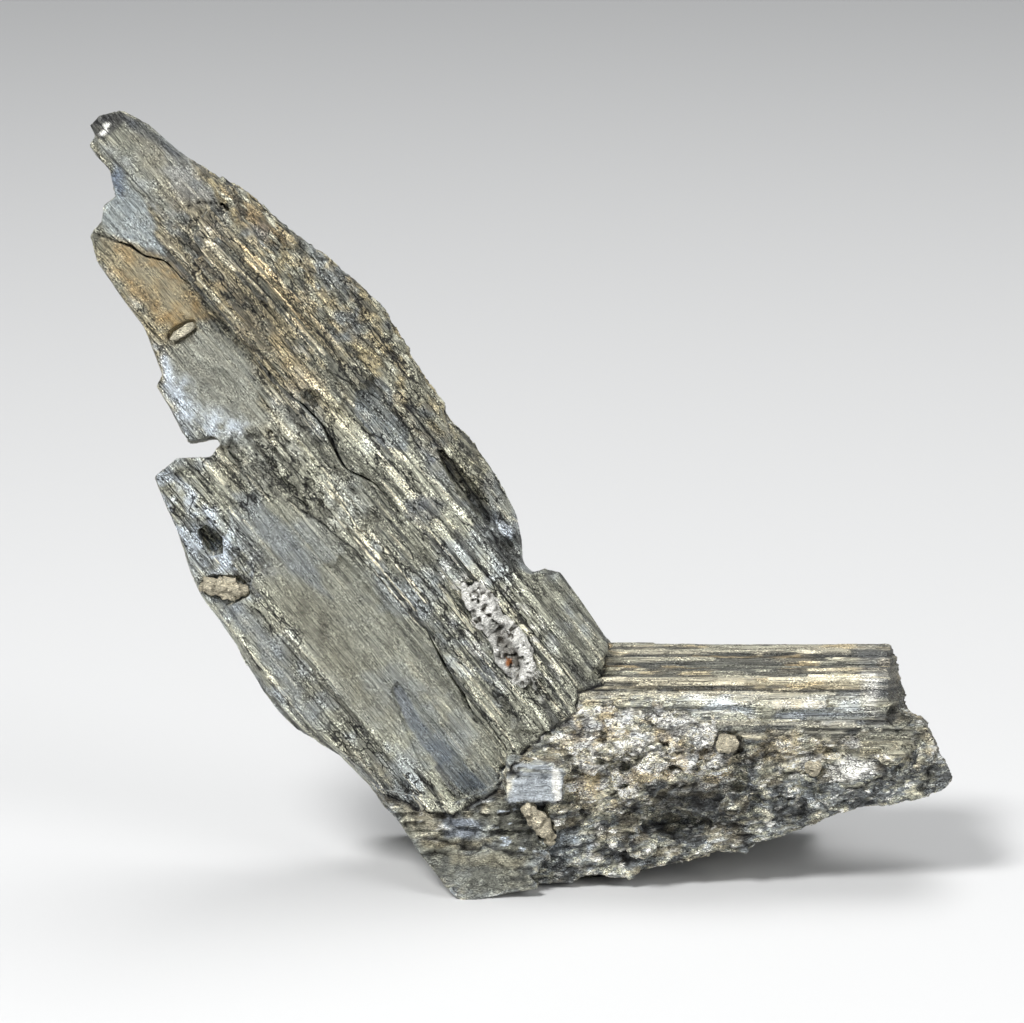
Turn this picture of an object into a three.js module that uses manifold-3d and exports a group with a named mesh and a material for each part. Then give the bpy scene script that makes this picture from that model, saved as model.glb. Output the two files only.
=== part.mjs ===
// A bismuthinite crystal cluster: a broad striated blade leaning up to the left, a striated prism lying to
// the right, and the granular ore that both grew from. They grew into each other, so they are one solid. A
// porous white crust and a few buff chips of other minerals sit in pockets of it, each a solid of its own.
// Millimetres. +Z is up, +X is to the right and the front looks towards -Y. The cluster stands on the flat
// under its ore, and the origin is under the middle of its box.

import * as THREE from "three";
import { mergeVertices } from "three/addons/utils/BufferGeometryUtils.js";
import Module from "manifold-3d";

const wasm = await Module();
wasm.setup();

// Driving dimensions of the blade. Its own axes are along (down its striations), across (up to the right)
// and out.
const BLADE_DIP = 51; // degrees that the striations fall to the right
const BLADE_MIDDLE = new THREE.Vector3(-16.8, 0, 39.9);
const BLADE_CORE = 4; // half the thickness of the plate under the raised laths
const BLADE_REACH = 6.6; // half the thickness of the domed outline that the laths are trimmed to
const BLADE_DOME = 0.9; // how much narrower that outline is on its faces than on its rim
const BLADE_FOOT_SCALE = 1.15; // the blade's thickness at its foot
const BLADE_TIP_SCALE = 0.72; // and at its tip
const CLUSTER_HEIGHT = 78;

// Driving dimensions of the prism and of the ore. They use the cluster's own axes.
const PRISM_START = 1;
const PRISM_END = 39.8;
const PRISM_END_SLANT = 0.15; // how far the prism's broken end falls back for each millimetre to the front
const PRISM_END_LEAN = 0.25; // and how far it leans out for each millimetre down
const PRISM_END_LEVEL = 19.5; // the height at which it has its stated length
const ORE_DOME = 0.95; // how much narrower a block of ore is on its front and back than in its middle
const FOOT_HEIGHT = 4;
const TOE_LEAN = 0.36; // how far the ore's left corner leans back for each millimetre up
const EDGE_SLOPE = 0.27; // how far the outer edges rise for each millimetre towards the front
const POCKET_GAP = 0.35; // clearance round a crust or chip in its pocket
const FAR = 60; // beyond the cluster on every side

// The blade's outline, clockwise from the knob at its tip, as [along, across]
const BLADE_OUTLINE = [
  [-42.9, 4.9], [-43.1, 6.4], [-42.3, 8.4], [-39.6, 9.5], [-36.8, 9.9], [-34.6, 10.4], [-32.6, 11],
  [-29.3, 12.4], [-26.5, 12.9], [-23.5, 13.3], [-21.4, 13.9], [-18, 14.6], [-14.8, 15.2], [-11.4, 15.6],
  [-8.3, 15.3], [-5.4, 14.7], [-2.3, 14.3], [0.4, 14], [1.5, 13.5], [4.8, 13.9], [8.3, 13.6], [10.9, 13.2],
  [13.7, 12.6], [16.1, 11.4], [17.9, 10.1], [19.3, 10.1], [19.7, 11.2], [21.1, 12.3], [25.5, 12],
  [30.4, 11.5], [32.5, 3.1], [35.2, -6.3], [36.5, -12], [34, -16.6], [28.7, -16.9], [26.3, -16.6],
  [22.1, -16.9], [19.5, -17.7], [17.2, -18.6], [14.6, -18.8], [11.6, -18.6], [8.6, -18.1], [6.3, -17.6],
  [3.2, -17.3], [0.3, -17.1], [-2.1, -16.4], [-6.1, -14.8], [-8.8, -14], [-11, -13.3], [-12.3, -12.8],
  [-13, -10.9], [-13.5, -7.9], [-16.5, -7.2], [-18.9, -6.8], [-19.3, -5.7], [-21.8, -4.8], [-24.4, -3.9],
  [-26.9, -3.8], [-29.3, -3.6], [-32.2, -3.3], [-34.5, -2.1], [-34.9, -0.4], [-36, 0.8], [-36, 2.3],
  [-38.8, 3.7], [-39.4, 4.5], [-40.8, 4.4],
];

// The ore's three blocks in the blade's middle plane, clockwise, as [x, z]
const ORE_LEFT = [
  [-12.4, 9], [-5, 7.4], [-1.6, 8.6], [0.6, 10.4], [4, 13], [10, 15], [13, 9], [11, -0.3], [8.2, -0.5],
  [7.2, -1.5], [3, -1.6], [-1, -2.4], [-3.6, -3.5], [-7.9, 1.8],
];
const ORE_MIDDLE = [
  [3, 14], [16, 15], [30, 14], [33, 6], [30, 4.3], [26.5, 3.3], [24.5, 2], [22, 2.2], [19, 0.9],
  [14.5, 0.3], [13, -1], [10, -0.4], [4, -0.6],
];
const ORE_RIGHT = [
  [26, 16], [38, 16.6], [39.6, 16.9], [41.4, 16.5], [42.3, 16], [43.1, 14.7], [43.9, 12.4], [44.8, 11.1],
  [45.3, 9.9], [44.5, 8.9], [43, 8.1], [38.6, 7], [36, 6.7], [33, 5.9], [28, 4.2],
];

// The ore's left corner seen from above, falling back to the right, as [x, y]
const CORNER_PLAN = [[-20, -12], [0, -12], [9, -5.5], [9, 10], [-20, 10]];

// The foot that the cluster stands on, behind the ore's front edge, as [x, y]
const FOOT_OUTLINE = [
  [-3, -6], [3, -5.5], [7, -3.3], [13, -2.5], [19, 4.6], [24.5, 8.7], [26, 12], [21, 15.4], [13, 17],
  [5, 16.2], [-3, 14.6], [-6, 9], [-5, -1.5],
];

// The prism's section from its back edge over the striated top and front, as [out, z]
const PRISM_SECTION = [
  [-6.5, 21], [-5.4, 22.2], [-3.2, 22], [-2.4, 22.4], [-0.6, 22.1], [0.3, 21.6], [1.6, 22.1], [2.8, 21.7],
  [3.4, 21.1], [4.6, 21.4], [5.3, 20.6], [5.6, 19.4], [5.1, 19], [6, 18.4], [6.3, 16.6], [5.7, 16.1],
  [6.6, 15.4], [6.8, 13], [4, 10], [-5, 10],
];

// The white crust's outline on the blade, as [along, across], and the heights between which it lies
const CRUST_OUTLINE = [
  [15, 4.7], [15.9, 6], [18.1, 6.1], [19.6, 5.8], [21.4, 6], [23.4, 6], [25.6, 5.2], [26.6, 3], [25.2, 2.7],
  [23.4, 2.6], [21.6, 3.6], [19.6, 3.6], [17.7, 3.7],
];
const CRUST_HEIGHTS = [3.8, 6.3];
const CRUST_PORES = [[17.2, 5], [20, 4.8], [22.4, 4.9], [24.2, 3.8]]; // as [along, across]

// The buff chips: where each is lodged, its size across, through and up, and its turn in degrees in the
// front's plane
const CHIPS = [
  { name: "buff_shard_upper", at: [-27.5, -3.6, 30.6], size: [4.6, 1.9, 1.8], turn: 6, seed: 3 },
  { name: "pale_lath", at: [-31.3, -3.4, 56.8], size: [3, 1.2, 0.9], turn: -34, seed: 8 },
  { name: "buff_shard_lower", at: [3.9, -8.4, 7.6], size: [4.8, 2.2, 1.6], turn: 52, seed: 12 },
  { name: "buff_pebble", at: [22.6, -8.6, 15.9], size: [2, 2, 1.7], turn: 0, seed: 17 },
  { name: "buff_crumb", at: [31.2, -8, 13.1], size: [1.3, 1.5, 1.3], turn: 0, seed: 21 },
];

// Looks of each material
const BISMUTHINITE = new THREE.MeshStandardMaterial({ color: 0x7d7c6c, roughness: 0.48, metalness: 0.55 });
const WHITE_CRUST = new THREE.MeshStandardMaterial({ color: 0xd9d7cc, roughness: 0.9, metalness: 0 });
const BUFF_STONE = new THREE.MeshStandardMaterial({ color: 0xcdbb92, roughness: 0.85, metalness: 0 });

// Frames: each turns a shape drawn in two axes, and extruded along the third, into the cluster's axes
const dip = THREE.MathUtils.degToRad(BLADE_DIP);
const ALONG = new THREE.Vector3(Math.cos(dip), 0, -Math.sin(dip));
const ACROSS = new THREE.Vector3(Math.sin(dip), 0, Math.cos(dip));
const RIGHT = new THREE.Vector3(1, 0, 0);
const BACK = new THREE.Vector3(0, 1, 0);
const UP = new THREE.Vector3(0, 0, 1);
const OUT = new THREE.Vector3(0, -1, 0);
const RISING = OUT.clone().addScaledVector(UP, EDGE_SLOPE);
const LEANING = UP.clone().addScaledVector(BACK, TOE_LEAN);
const frame = (first, second, third, middle = new THREE.Vector3()) =>
  new THREE.Matrix4().makeBasis(first, second, third).setPosition(middle);
const BLADE_FACE = frame(ALONG, ACROSS, OUT, BLADE_MIDDLE);
const BLADE_EDGE = frame(ALONG, ACROSS, RISING, BLADE_MIDDLE);
const BLADE_LATHS = frame(ACROSS, OUT, ALONG, BLADE_MIDDLE);
const ORE_EDGE = frame(RIGHT, UP, RISING);
const PRISM_LATHS = frame(UP, OUT, RIGHT);
const TOE_LATHS = frame(LEANING, OUT, RIGHT);
const PLAN = frame(RIGHT, BACK, UP);

// A row of numbers from 0 to 1 that is the same in every build
function seeded(seed) {
  let state = seed;
  return () => {
    state = (state + 0x6d2b79f5) | 0;
    let mixed = Math.imul(state ^ (state >>> 15), 1 | state);
    mixed = (mixed + Math.imul(mixed ^ (mixed >>> 7), 61 | mixed)) ^ mixed;
    return ((mixed ^ (mixed >>> 14)) >>> 0) / 4294967296;
  };
}

const between = (random, [low, high]) => low + (high - low) * random();

// A number from -1 to 1 that depends only on a place, so that shared corners move together
function jitter(x, y, z, seed) {
  const wave = Math.sin(x * 12.9898 + y * 78.233 + z * 37.719 + seed * 4.1414) * 43758.5453;
  return 2 * (wave - Math.floor(wave)) - 1;
}

// A geometry as a solid that can be joined and cut
function solidOf(geometry, matrix = new THREE.Matrix4()) {
  const bare = geometry.clone().applyMatrix4(matrix);
  bare.deleteAttribute("normal");
  bare.deleteAttribute("uv");
  const merged = mergeVertices(bare, 1e-4);
  return new wasm.Manifold(
    new wasm.Mesh({
      numProp: 3,
      vertProperties: merged.attributes.position.array,
      triVerts: new Uint32Array(merged.index.array),
    }),
  );
}

const joined = (solids) => solids.reduce((whole, next) => whole.add(next));

// The largest skin of a solid, without the closed bubbles and loose crumbs that joins and cuts leave
const largestSkin = (solid) => solid.decompose().reduce((a, b) => (a.volume() > b.volume() ? a : b));

const shapeOf = (outline) => new THREE.Shape(outline.map(([x, y]) => new THREE.Vector2(x, y)));

// A flat piece with the given outline, from one height to another. Where it is domed, both of its faces are
// narrower than its middle third by that factor.
function slab(outline, [low, high], matrix, domed = 1) {
  const geometry = new THREE.ExtrudeGeometry(shapeOf(outline), {
    depth: high - low,
    steps: domed < 1 ? 3 : 1,
    bevelEnabled: false,
  });
  geometry.computeBoundingBox();
  const middle = geometry.boundingBox.getCenter(new THREE.Vector3());
  const third = (high - low) / 3;
  const place = geometry.attributes.position;
  for (let i = 0; i < place.count; i += 1) {
    const shrink = Math.abs(place.getZ(i) - middle.z) > third ? domed : 1;
    place.setY(i, middle.y + (place.getY(i) - middle.y) * shrink);
  }
  return solidOf(geometry.translate(0, 0, low), matrix);
}

// A striated lath: a long prism whose front is ridged and whose ends are broken
function lath({ across, along, out, ridges, relief, broken, seed }, matrix) {
  const random = seeded(seed);
  const [low, high] = across;
  const section = [[low, out[0]], [high, out[0]]];
  const steps = 2 * ridges;
  for (let i = 0; i <= steps; i += 1) {
    const shift = i > 0 && i < steps ? (random() - 0.5) / steps : 0;
    const valley = i % 2 === 0 ? relief * (0.4 + 0.6 * random()) : 0;
    section.push([high + (low - high) * (i / steps + shift), out[1] - valley]);
  }
  const length = along[1] - along[0];
  const geometry = new THREE.ExtrudeGeometry(shapeOf(section), { depth: length, bevelEnabled: false });
  const place = geometry.attributes.position;
  for (let i = 0; i < place.count; i += 1) {
    const z = place.getZ(i);
    const end = z > length / 2 ? 1 : -1;
    place.setZ(i, along[0] + z + end * broken * jitter(place.getX(i), place.getY(i), end, seed));
  }
  return solidOf(geometry, matrix);
}

// Laths side by side across a stretch of a crystal, each with its own length and height
function bundle({ across, widths, starts, ends, back, fronts, ridges, relief, broken, seed }, matrix) {
  const random = seeded(seed);
  const overlap = 0.1;
  const laths = [];
  let low = across[0];
  while (low < across[1]) {
    const high = Math.min(low + between(random, widths), across[1]);
    const middle = (low + high) / 2;
    const one = {
      across: [low - overlap, high + overlap],
      along: [starts(middle, random), ends(middle, random)],
      out: [back, between(random, fronts)],
      ridges: Math.max(1, Math.round((high - low) * ridges)),
      relief,
      broken,
      seed: seed + laths.length,
    };
    laths.push(lath(one, matrix));
    low = high;
  }
  return joined(laths);
}

// A ball of flat facets pushed out of round, and towards a block where it is square
function pebble(radii, seed, detail, rough, square = 0) {
  const geometry = new THREE.IcosahedronGeometry(1, detail);
  const place = geometry.attributes.position;
  for (let i = 0; i < place.count; i += 1) {
    const [x, y, z] = [place.getX(i), place.getY(i), place.getZ(i)].map((v) => Math.round(v * 1e4) / 1e4);
    const corner = Math.max(Math.abs(x), Math.abs(y), Math.abs(z)) ** -square;
    const grow = corner * (1 + rough * jitter(x, y, z, seed));
    place.setXYZ(i, radii[0] * x * grow, radii[1] * y * grow, radii[2] * z * grow);
  }
  return geometry;
}

// An angular lump of ore
const lump = (middle, radii, seed, detail = 1) =>
  solidOf(pebble(radii, seed, detail, 0.24).translate(...middle));

// A hollow with flat facets scooped out of the blade's face, at [along, across]
const scoop = ([along, across], reach, seed, detail = 1) =>
  solidOf(pebble(reach, seed, detail, 0.12).translate(along, across, BLADE_CORE + 0.9), BLADE_FACE);

// The height of the ore's lower edge at its front, which rises to the right
const oreEdge = (x) => Math.max(0.25 * x - 0.4, 0.6);

// Lumps strewn over a stretch of the ore, large and small, above its lower edge
function lumps({ count, x, y, rise, size, seed, detail = 0 }) {
  const random = seeded(seed);
  const made = [];
  for (let i = 0; i < count; i += 1) {
    const radius = between(random, size);
    const right = between(random, x);
    const middle = [right, between(random, y), oreEdge(right) + radius + between(random, rise)];
    const stretch = [0.8 + 0.7 * random(), 0.8 + 0.4 * random(), 0.6 + 0.5 * random()];
    const radii = stretch.map((factor) => radius * factor);
    made.push(lump(middle, radii, seed + i, detail));
  }
  return joined(made);
}

// A slot that follows a crack over the blade's face, widest in its middle, down to the given height
function crack(points, width, floor) {
  const last = points.length - 1;
  const half = (i) => 0.5 * width * (0.35 + 0.65 * Math.sin((Math.PI * (i + 0.5)) / (last + 1)));
  const side = (sign) =>
    points.map(([along, across], i) => {
      const [a, b] = [points[Math.max(i - 1, 0)], points[Math.min(i + 1, last)]];
      const run = new THREE.Vector2(b[0] - a[0], b[1] - a[1]).normalize();
      return [along - sign * run.y * half(i), across + sign * run.x * half(i)];
    });
  return slab([...side(-1), ...side(1).reverse()], [floor, FAR], BLADE_FACE);
}

// An outline moved out on every side
function grown(outline, by) {
  const count = outline.length;
  const turn = THREE.ShapeUtils.isClockWise(shapeOf(outline).getPoints()) ? 1 : -1;
  return outline.map(([x, y], i) => {
    const [a, b] = [outline[(i + count - 1) % count], outline[(i + 1) % count]];
    const run = new THREE.Vector2(b[0] - a[0], b[1] - a[1]).normalize();
    return [x - turn * run.y * by, y + turn * run.x * by];
  });
}

// Where the blade's laths end against the prism
const suture = (across) => 33.2 - 0.22 * (across + 4);

function bladeLaths() {
  const central = {
    across: [-2.6, 10.6], widths: [1, 2.5], back: 0, fronts: [4.5, 5.6], ridges: 0.7, relief: 0.35,
    broken: 0.5,
    starts: (t, random) => -5 + 9 * random(), ends: (t, random) => suture(t) + random(), seed: 11,
  };
  const middle = {
    across: [-6, 9.5], widths: [1.4, 2.8], back: 0, fronts: [4.1, 5.1], ridges: 0.4, relief: 0.4, broken: 0.7,
    starts: (t, random) => -13 + 4 * random(), ends: (t, random) => 2 + 6 * random(), seed: 23,
  };
  const upper = {
    across: [3.4, 11.2], widths: [1, 2.3], back: 0, fronts: [4.7, 5.5], ridges: 0.7, relief: 0.35,
    broken: 0.45,
    starts: (t, random) => -30.6 + 0.9 * Math.abs(t - 8.6) + random(), ends: (t, random) => -9 + 3 * random(),
    seed: 37,
  };
  const rim = {
    across: [10.4, 15.4], widths: [1.4, 2.4], back: 0, fronts: [3.6, 4.9], ridges: 0.4, relief: 0.3,
    broken: 0.8, starts: (t, random) => -37 + 8 * random(), ends: (t, random) => 4 + 9 * random(), seed: 41,
  };
  const lower = {
    across: [-17.4, -2.4], widths: [2.4, 5], back: 0, fronts: [4.2, 4.6], ridges: 0.4, relief: 0.12,
    broken: 0.5,
    starts: (t, random) => -2 - 0.5 * (t + 10) + 3 * random(), ends: (t, random) => 33.4 + random(), seed: 53,
  };
  const stub = {
    across: [8.6, 12.6], widths: [0.9, 1.5], back: 0, fronts: [4.3, 5], ridges: 0.7, relief: 0.25,
    broken: 0.15, starts: () => 19.6, ends: suture, seed: 61,
  };
  const behind = {
    across: [-17, 15], widths: [2.4, 4.6], back: 0, fronts: [-5.6, -4.3], ridges: 0.3, relief: -0.35,
    broken: 0.8,
    starts: (t, random) => -38 + 14 * random(), ends: (t, random) => 24 + 9 * random(), seed: 71,
  };
  return [central, middle, upper, rim, lower, stub, behind].map((one) => bundle(one, BLADE_LATHS));
}

// The blade's notches, ledges, pits and cracks, as solids to cut away
function bladeCuts() {
  const through = [-FAR, FAR];
  const notch = [
    [-11.9, -14], [-11.9, -9.9], [-9.9, -7.2], [-10.3, -5.5], [-11.4, -5.6], [-12.6, -8], [-13.6, -7.6],
    [-15, -14],
  ];
  const step = [[15.2, 12.6], [17.6, 10.3], [19.3, 10], [19.7, 11.2], [21.4, 14], [18, 16]];
  const pocket = [[-5.7, -12.6], [-5.6, -11.4], [-3.6, -11], [-2.2, -12.1], [-2.9, -13.4]];
  const flap = [
    [-13, -13.5], [-11, -8.4], [-6.2, -8], [-2.1, -10.2], [0.9, -10.4], [2.6, -12.6], [1.2, -18], [-8, -18],
  ];
  const cleft = [
    [2.6, 11.2], [3.4, 12], [8.3, 12], [11.4, 11.9], [13, 11], [11.8, 10.2], [9.1, 10.3], [5.7, 10.5],
  ];
  const blueStrip = [
    [18.5, -6.7], [25.3, -6.5], [33.6, -7.6], [35, -10], [26.9, -10.4], [23.1, -9.3], [19, -7.8],
  ];
  const blueFacet = [[-6.9, 8.8], [-6.5, 10.7], [-1, 10.6], [-0.2, 9.2]];
  const cracks = [
    [[-13.6, 3.5], [-9.8, 3.9], [-6.2, 4.1], [-1.5, 3.1], [1.6, 4.4], [5.1, 4.4]],
    [[16.1, -1], [20.3, -1.9], [23.4, -2.3], [27, -3.1]],
    [[-37, -2.2], [-31.9, 0.9], [-30.3, 1.4], [-28.7, 2.6], [-25.4, 2.8]],
    [[-31.8, 7.1], [-31.3, 8.8], [-29.4, 10.7], [-27.6, 10.9]],
  ];
  return joined([
    slab(notch, through, BLADE_EDGE),
    slab(step, through, BLADE_EDGE),
    slab(pocket, [0.8, FAR], BLADE_FACE),
    slab(flap, [3.4, FAR], BLADE_FACE),
    slab(cleft, [1.6, FAR], BLADE_FACE),
    slab(blueStrip, [3.9, FAR], BLADE_FACE),
    slab(blueFacet, [4.1, FAR], BLADE_FACE),
    scoop([-35, 2.6], [5.4, 3, 1.9], 1),
    scoop([-15.5, -2.6], [5.6, 4, 1.7], 2),
    scoop([-9.2, 5.2], [1.4, 1.1, 1.6], 3),
    scoop([15.2, 10.8], [1.6, 0.8, 2], 4),
    ...cracks.map((points) => crack(points, 0.55, 3.4)),
  ]);
}

// The blade thins from its foot to its tip
function tapered(solid) {
  return solid.warp((point) => {
    const height = Math.min(point[2] / CLUSTER_HEIGHT, 1);
    point[1] *= BLADE_FOOT_SCALE + (BLADE_TIP_SCALE - BLADE_FOOT_SCALE) * height;
  });
}

function blade() {
  const envelope = slab(BLADE_OUTLINE, [-BLADE_REACH, BLADE_REACH], BLADE_EDGE, BLADE_DOME);
  const core = slab(BLADE_OUTLINE, [-BLADE_CORE, BLADE_CORE], BLADE_EDGE);
  const knob = lump([-36.9, -0.6, 74.9], [3, 3.6, 2.3], 5);
  const whole = joined([core, ...bladeLaths()]).intersect(envelope).add(knob);
  return tapered(whole.subtract(bladeCuts()));
}

// The striated prism: one long section, the ledges that stand on it, and a smaller neighbour below its end
function prism() {
  const section = PRISM_SECTION.map(([out, z]) => [z, out]);
  const length = PRISM_END - PRISM_START;
  const geometry = new THREE.ExtrudeGeometry(shapeOf(section), { depth: length, bevelEnabled: false });
  const place = geometry.attributes.position;
  for (let i = 0; i < place.count; i += 1) {
    const [z, out, x] = [place.getX(i), place.getY(i), place.getZ(i)];
    const slant = PRISM_END_LEAN * (PRISM_END_LEVEL - z) - PRISM_END_SLANT * out + 0.3 * jitter(z, out, 1, 3);
    place.setZ(i, PRISM_START + x + (x > length / 2 ? slant : 0));
  }
  const ledges = {
    across: [12.6, 20], widths: [0.9, 1.7], back: 0, fronts: [6.2, 7.1], ridges: 0.8, relief: 0.3,
    broken: 0.6,
    starts: (z, random) => 5.5 + 0.8 * (z - 12) + 2 * random(), ends: (z, random) => 22 + 13 * random(),
    seed: 83,
  };
  const behind = {
    across: [9.6, 21.6], widths: [1.6, 3.4], back: 0, fronts: [-7.6, -6.2], ridges: 0.3, relief: -0.35,
    broken: 0.8, starts: (z, random) => 3 + 5 * random(), ends: (z, random) => 35 + 4 * random(), seed: 131,
  };
  const neighbour = {
    across: [13.8, 16.4], along: [32, 41], out: [-1, 6.4], ridges: 3, relief: 0.4, broken: 0.3, seed: 89,
  };
  const laths = [bundle(ledges, PRISM_LATHS), bundle(behind, PRISM_LATHS), lath(neighbour, PRISM_LATHS)];
  return joined([solidOf(geometry, PRISM_LATHS), ...laths]);
}

// The ore under and behind the crystals: blocks, horizontal laths and angular lumps, on a flat foot
function ore() {
  const toe = {
    across: [0, 8.4], widths: [1.4, 3], back: 4, fronts: [8.8, 10.2], ridges: 0.5, relief: 0.3, broken: 0.6,
    starts: (z) => -6 - 0.85 * z, ends: (z, random) => 2 + 6 * random(), seed: 97,
  };
  const corner = joined([lump([-2.8, -7.4, 0.6], [3.2, 3, 3], 7), bundle(toe, TOE_LATHS)])
    .intersect(slab(ORE_LEFT, [-FAR, FAR], ORE_EDGE))
    .intersect(slab(CORNER_PLAN, [-FAR, FAR], PLAN));
  const ledges = {
    across: [10, 15.4], widths: [0.9, 1.8], back: 2, fronts: [6.8, 8], ridges: 0.8, relief: 0.4, broken: 0.7,
    starts: (z, random) => 24 + 8 * random(), ends: (z, random) => 36 + 5 * random(), seed: 103,
  };
  const brightBlock = {
    across: [9.9, 14.3], along: [0.6, 6.3], out: [4, 9.2], ridges: 5, relief: 0.3, broken: 0.12, seed: 101,
  };
  return joined([
    slab(ORE_LEFT, [-11, 6.6], ORE_EDGE, ORE_DOME),
    slab(ORE_MIDDLE, [-12, 6.6], ORE_EDGE, ORE_DOME),
    slab(ORE_RIGHT, [-2.5, 6.8], ORE_EDGE, ORE_DOME),
    slab(FOOT_OUTLINE, [-2, FOOT_HEIGHT], PLAN),
    corner,
    bundle(ledges, PRISM_LATHS),
    lath(brightBlock, PRISM_LATHS),
    lumps({ count: 36, x: [5, 27], y: [-8, -6.4], rise: [5, 12], size: [0.8, 2], seed: 211 }),
    lumps({ count: 15, x: [25, 43], y: [-7.6, -5.8], rise: [0.4, 4], size: [0.7, 1.5], seed: 307 }),
    lumps({ count: 18, x: [2, 33], y: [-8, -5.6], rise: [0.2, 4], size: [0.9, 1.8], seed: 401 }),
    lump([9, 7, 5], [13, 9, 7.4], 19),
    lump([20, 8, 6], [8, 6.6, 6.6], 29),
    lump([-1.5, 7, 6], [6.4, 7, 6.4], 39),
    lumps({ count: 12, x: [-4, 31], y: [7, 13.6], rise: [1, 7], size: [1.8, 3.4], seed: 503 }),
  ]);
}

// A dark hollow under the granular patch
const hollow = () => lump([17.6, -8.6, 6.4], [4.4, 4.8, 2.4], 13, 0);

// The porous white crust that fills a groove of the blade, and the groove
function crust() {
  const pores = CRUST_PORES.map((at, i) => scoop(at, [0.8, 0.7, 1.4], 31 + i, 0));
  const groove = [CRUST_HEIGHTS[0] - POCKET_GAP, FAR];
  return {
    solid: slab(CRUST_OUTLINE, CRUST_HEIGHTS, BLADE_FACE, 0.86).subtract(joined(pores)),
    pocket: slab(grown(CRUST_OUTLINE, POCKET_GAP), groove, BLADE_FACE),
  };
}

// A chip of another mineral, and the pocket that it is lodged in
function chip({ at, size, turn, seed }) {
  const place = new THREE.Matrix4().makeRotationY(THREE.MathUtils.degToRad(turn)).setPosition(...at);
  const stone = (gap) => solidOf(pebble(size.map((across) => across / 2 + gap), seed, 1, 0.12, 0.6), place);
  return { solid: stone(0), pocket: stone(POCKET_GAP) };
}

function pieceOf(name, solid, material) {
  const made = solid.getMesh();
  const geometry = new THREE.BufferGeometry();
  geometry.setAttribute("position", new THREE.BufferAttribute(made.vertProperties, 3));
  geometry.setIndex(new THREE.BufferAttribute(made.triVerts, 1));
  const mesh = new THREE.Mesh(geometry, material);
  mesh.name = name;
  return mesh;
}

// The cluster, cut flat where it stands and with a pocket for each piece that is lodged in it
const ground = solidOf(new THREE.BoxGeometry(4 * FAR, 4 * FAR, FAR).translate(0, 0, -FAR / 2));
const lodged = [
  { name: "white_crust", material: WHITE_CRUST, ...crust() },
  ...CHIPS.map((one) => ({ name: one.name, material: BUFF_STONE, ...chip(one) })),
];
const pockets = joined(lodged.map((piece) => piece.pocket));
const grownTogether = joined([blade(), prism(), ore()]);
const cluster = largestSkin(grownTogether.subtract(joined([hollow(), ground, pockets])));

const group = new THREE.Group();
group.add(pieceOf("crystal_cluster", cluster, BISMUTHINITE));
lodged.forEach(({ name, solid, material }) => group.add(pieceOf(name, solid, material)));
const box = new THREE.Box3().setFromObject(group);
const middle = box.getCenter(new THREE.Vector3());
group.position.set(-middle.x, -middle.y, -box.min.z);

export default group;
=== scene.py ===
import itertools
import math

import bpy
import numpy as np
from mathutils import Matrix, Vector


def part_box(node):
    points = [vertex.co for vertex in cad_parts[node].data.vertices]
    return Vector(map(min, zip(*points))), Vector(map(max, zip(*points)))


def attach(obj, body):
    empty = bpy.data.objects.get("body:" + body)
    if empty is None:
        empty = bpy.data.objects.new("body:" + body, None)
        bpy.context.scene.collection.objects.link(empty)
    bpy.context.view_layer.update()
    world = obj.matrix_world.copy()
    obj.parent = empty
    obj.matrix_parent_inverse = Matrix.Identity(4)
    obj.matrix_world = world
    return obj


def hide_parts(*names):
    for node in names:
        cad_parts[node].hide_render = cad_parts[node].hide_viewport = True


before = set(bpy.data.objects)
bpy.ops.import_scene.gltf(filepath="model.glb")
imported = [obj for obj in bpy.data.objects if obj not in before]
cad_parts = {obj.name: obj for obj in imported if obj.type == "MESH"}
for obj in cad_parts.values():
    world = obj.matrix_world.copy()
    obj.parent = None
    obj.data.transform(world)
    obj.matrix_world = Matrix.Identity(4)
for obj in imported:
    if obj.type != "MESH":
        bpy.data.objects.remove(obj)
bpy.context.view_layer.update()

# Sizes are in millimetres, in the drawing's own axes: x to the right, y to the back, z up from the floor.
# The drawing's y = 0 is the middle plane of the blade.
MM = 0.001
CLUSTER_CORNER = np.array([-40.39, -10.03, 0.0])
SHIFT = np.array(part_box("crystal_cluster")[0]) / MM - CLUSTER_CORNER

# The blade: its middle, the dip of its striations and how they bend from its tip to its foot
BLADE_MIDDLE = np.array([-16.8, 0.0, 39.9])
BLADE_DIP = math.radians(51)
ALONG = np.array([math.cos(BLADE_DIP), 0, -math.sin(BLADE_DIP)])
ACROSS = np.array([math.sin(BLADE_DIP), 0, math.cos(BLADE_DIP)])
BEND = 0.00087
STRAIGHT_AT = 10.0

# Moves the back to other laths than the front's
BACK_LATHS = 40

# Where the blade ends and the prism and the ore begin: across the blade, and along it
SUTURE_ACROSS = [-15, -12.4, -10.5, -7.3, -6, -3, -0.1, 2.7, 5.4, 6.9, 9, 12.2, 14]
SUTURE_ALONG = [26.5, 30.9, 32.6, 33.2, 33.2, 31.9, 31.7, 32, 32.1, 30.9, 31.5, 29.5, 28]

# The height of the granular ore's upper border along x
ORE_X = [-10, 0, 2, 6, 12, 19, 24, 28, 36, 39, 40.5, 46]
ORE_Z = [9.5, 11.5, 14, 18.5, 19, 18.5, 17, 16.4, 16.2, 16.5, 19, 19]

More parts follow.
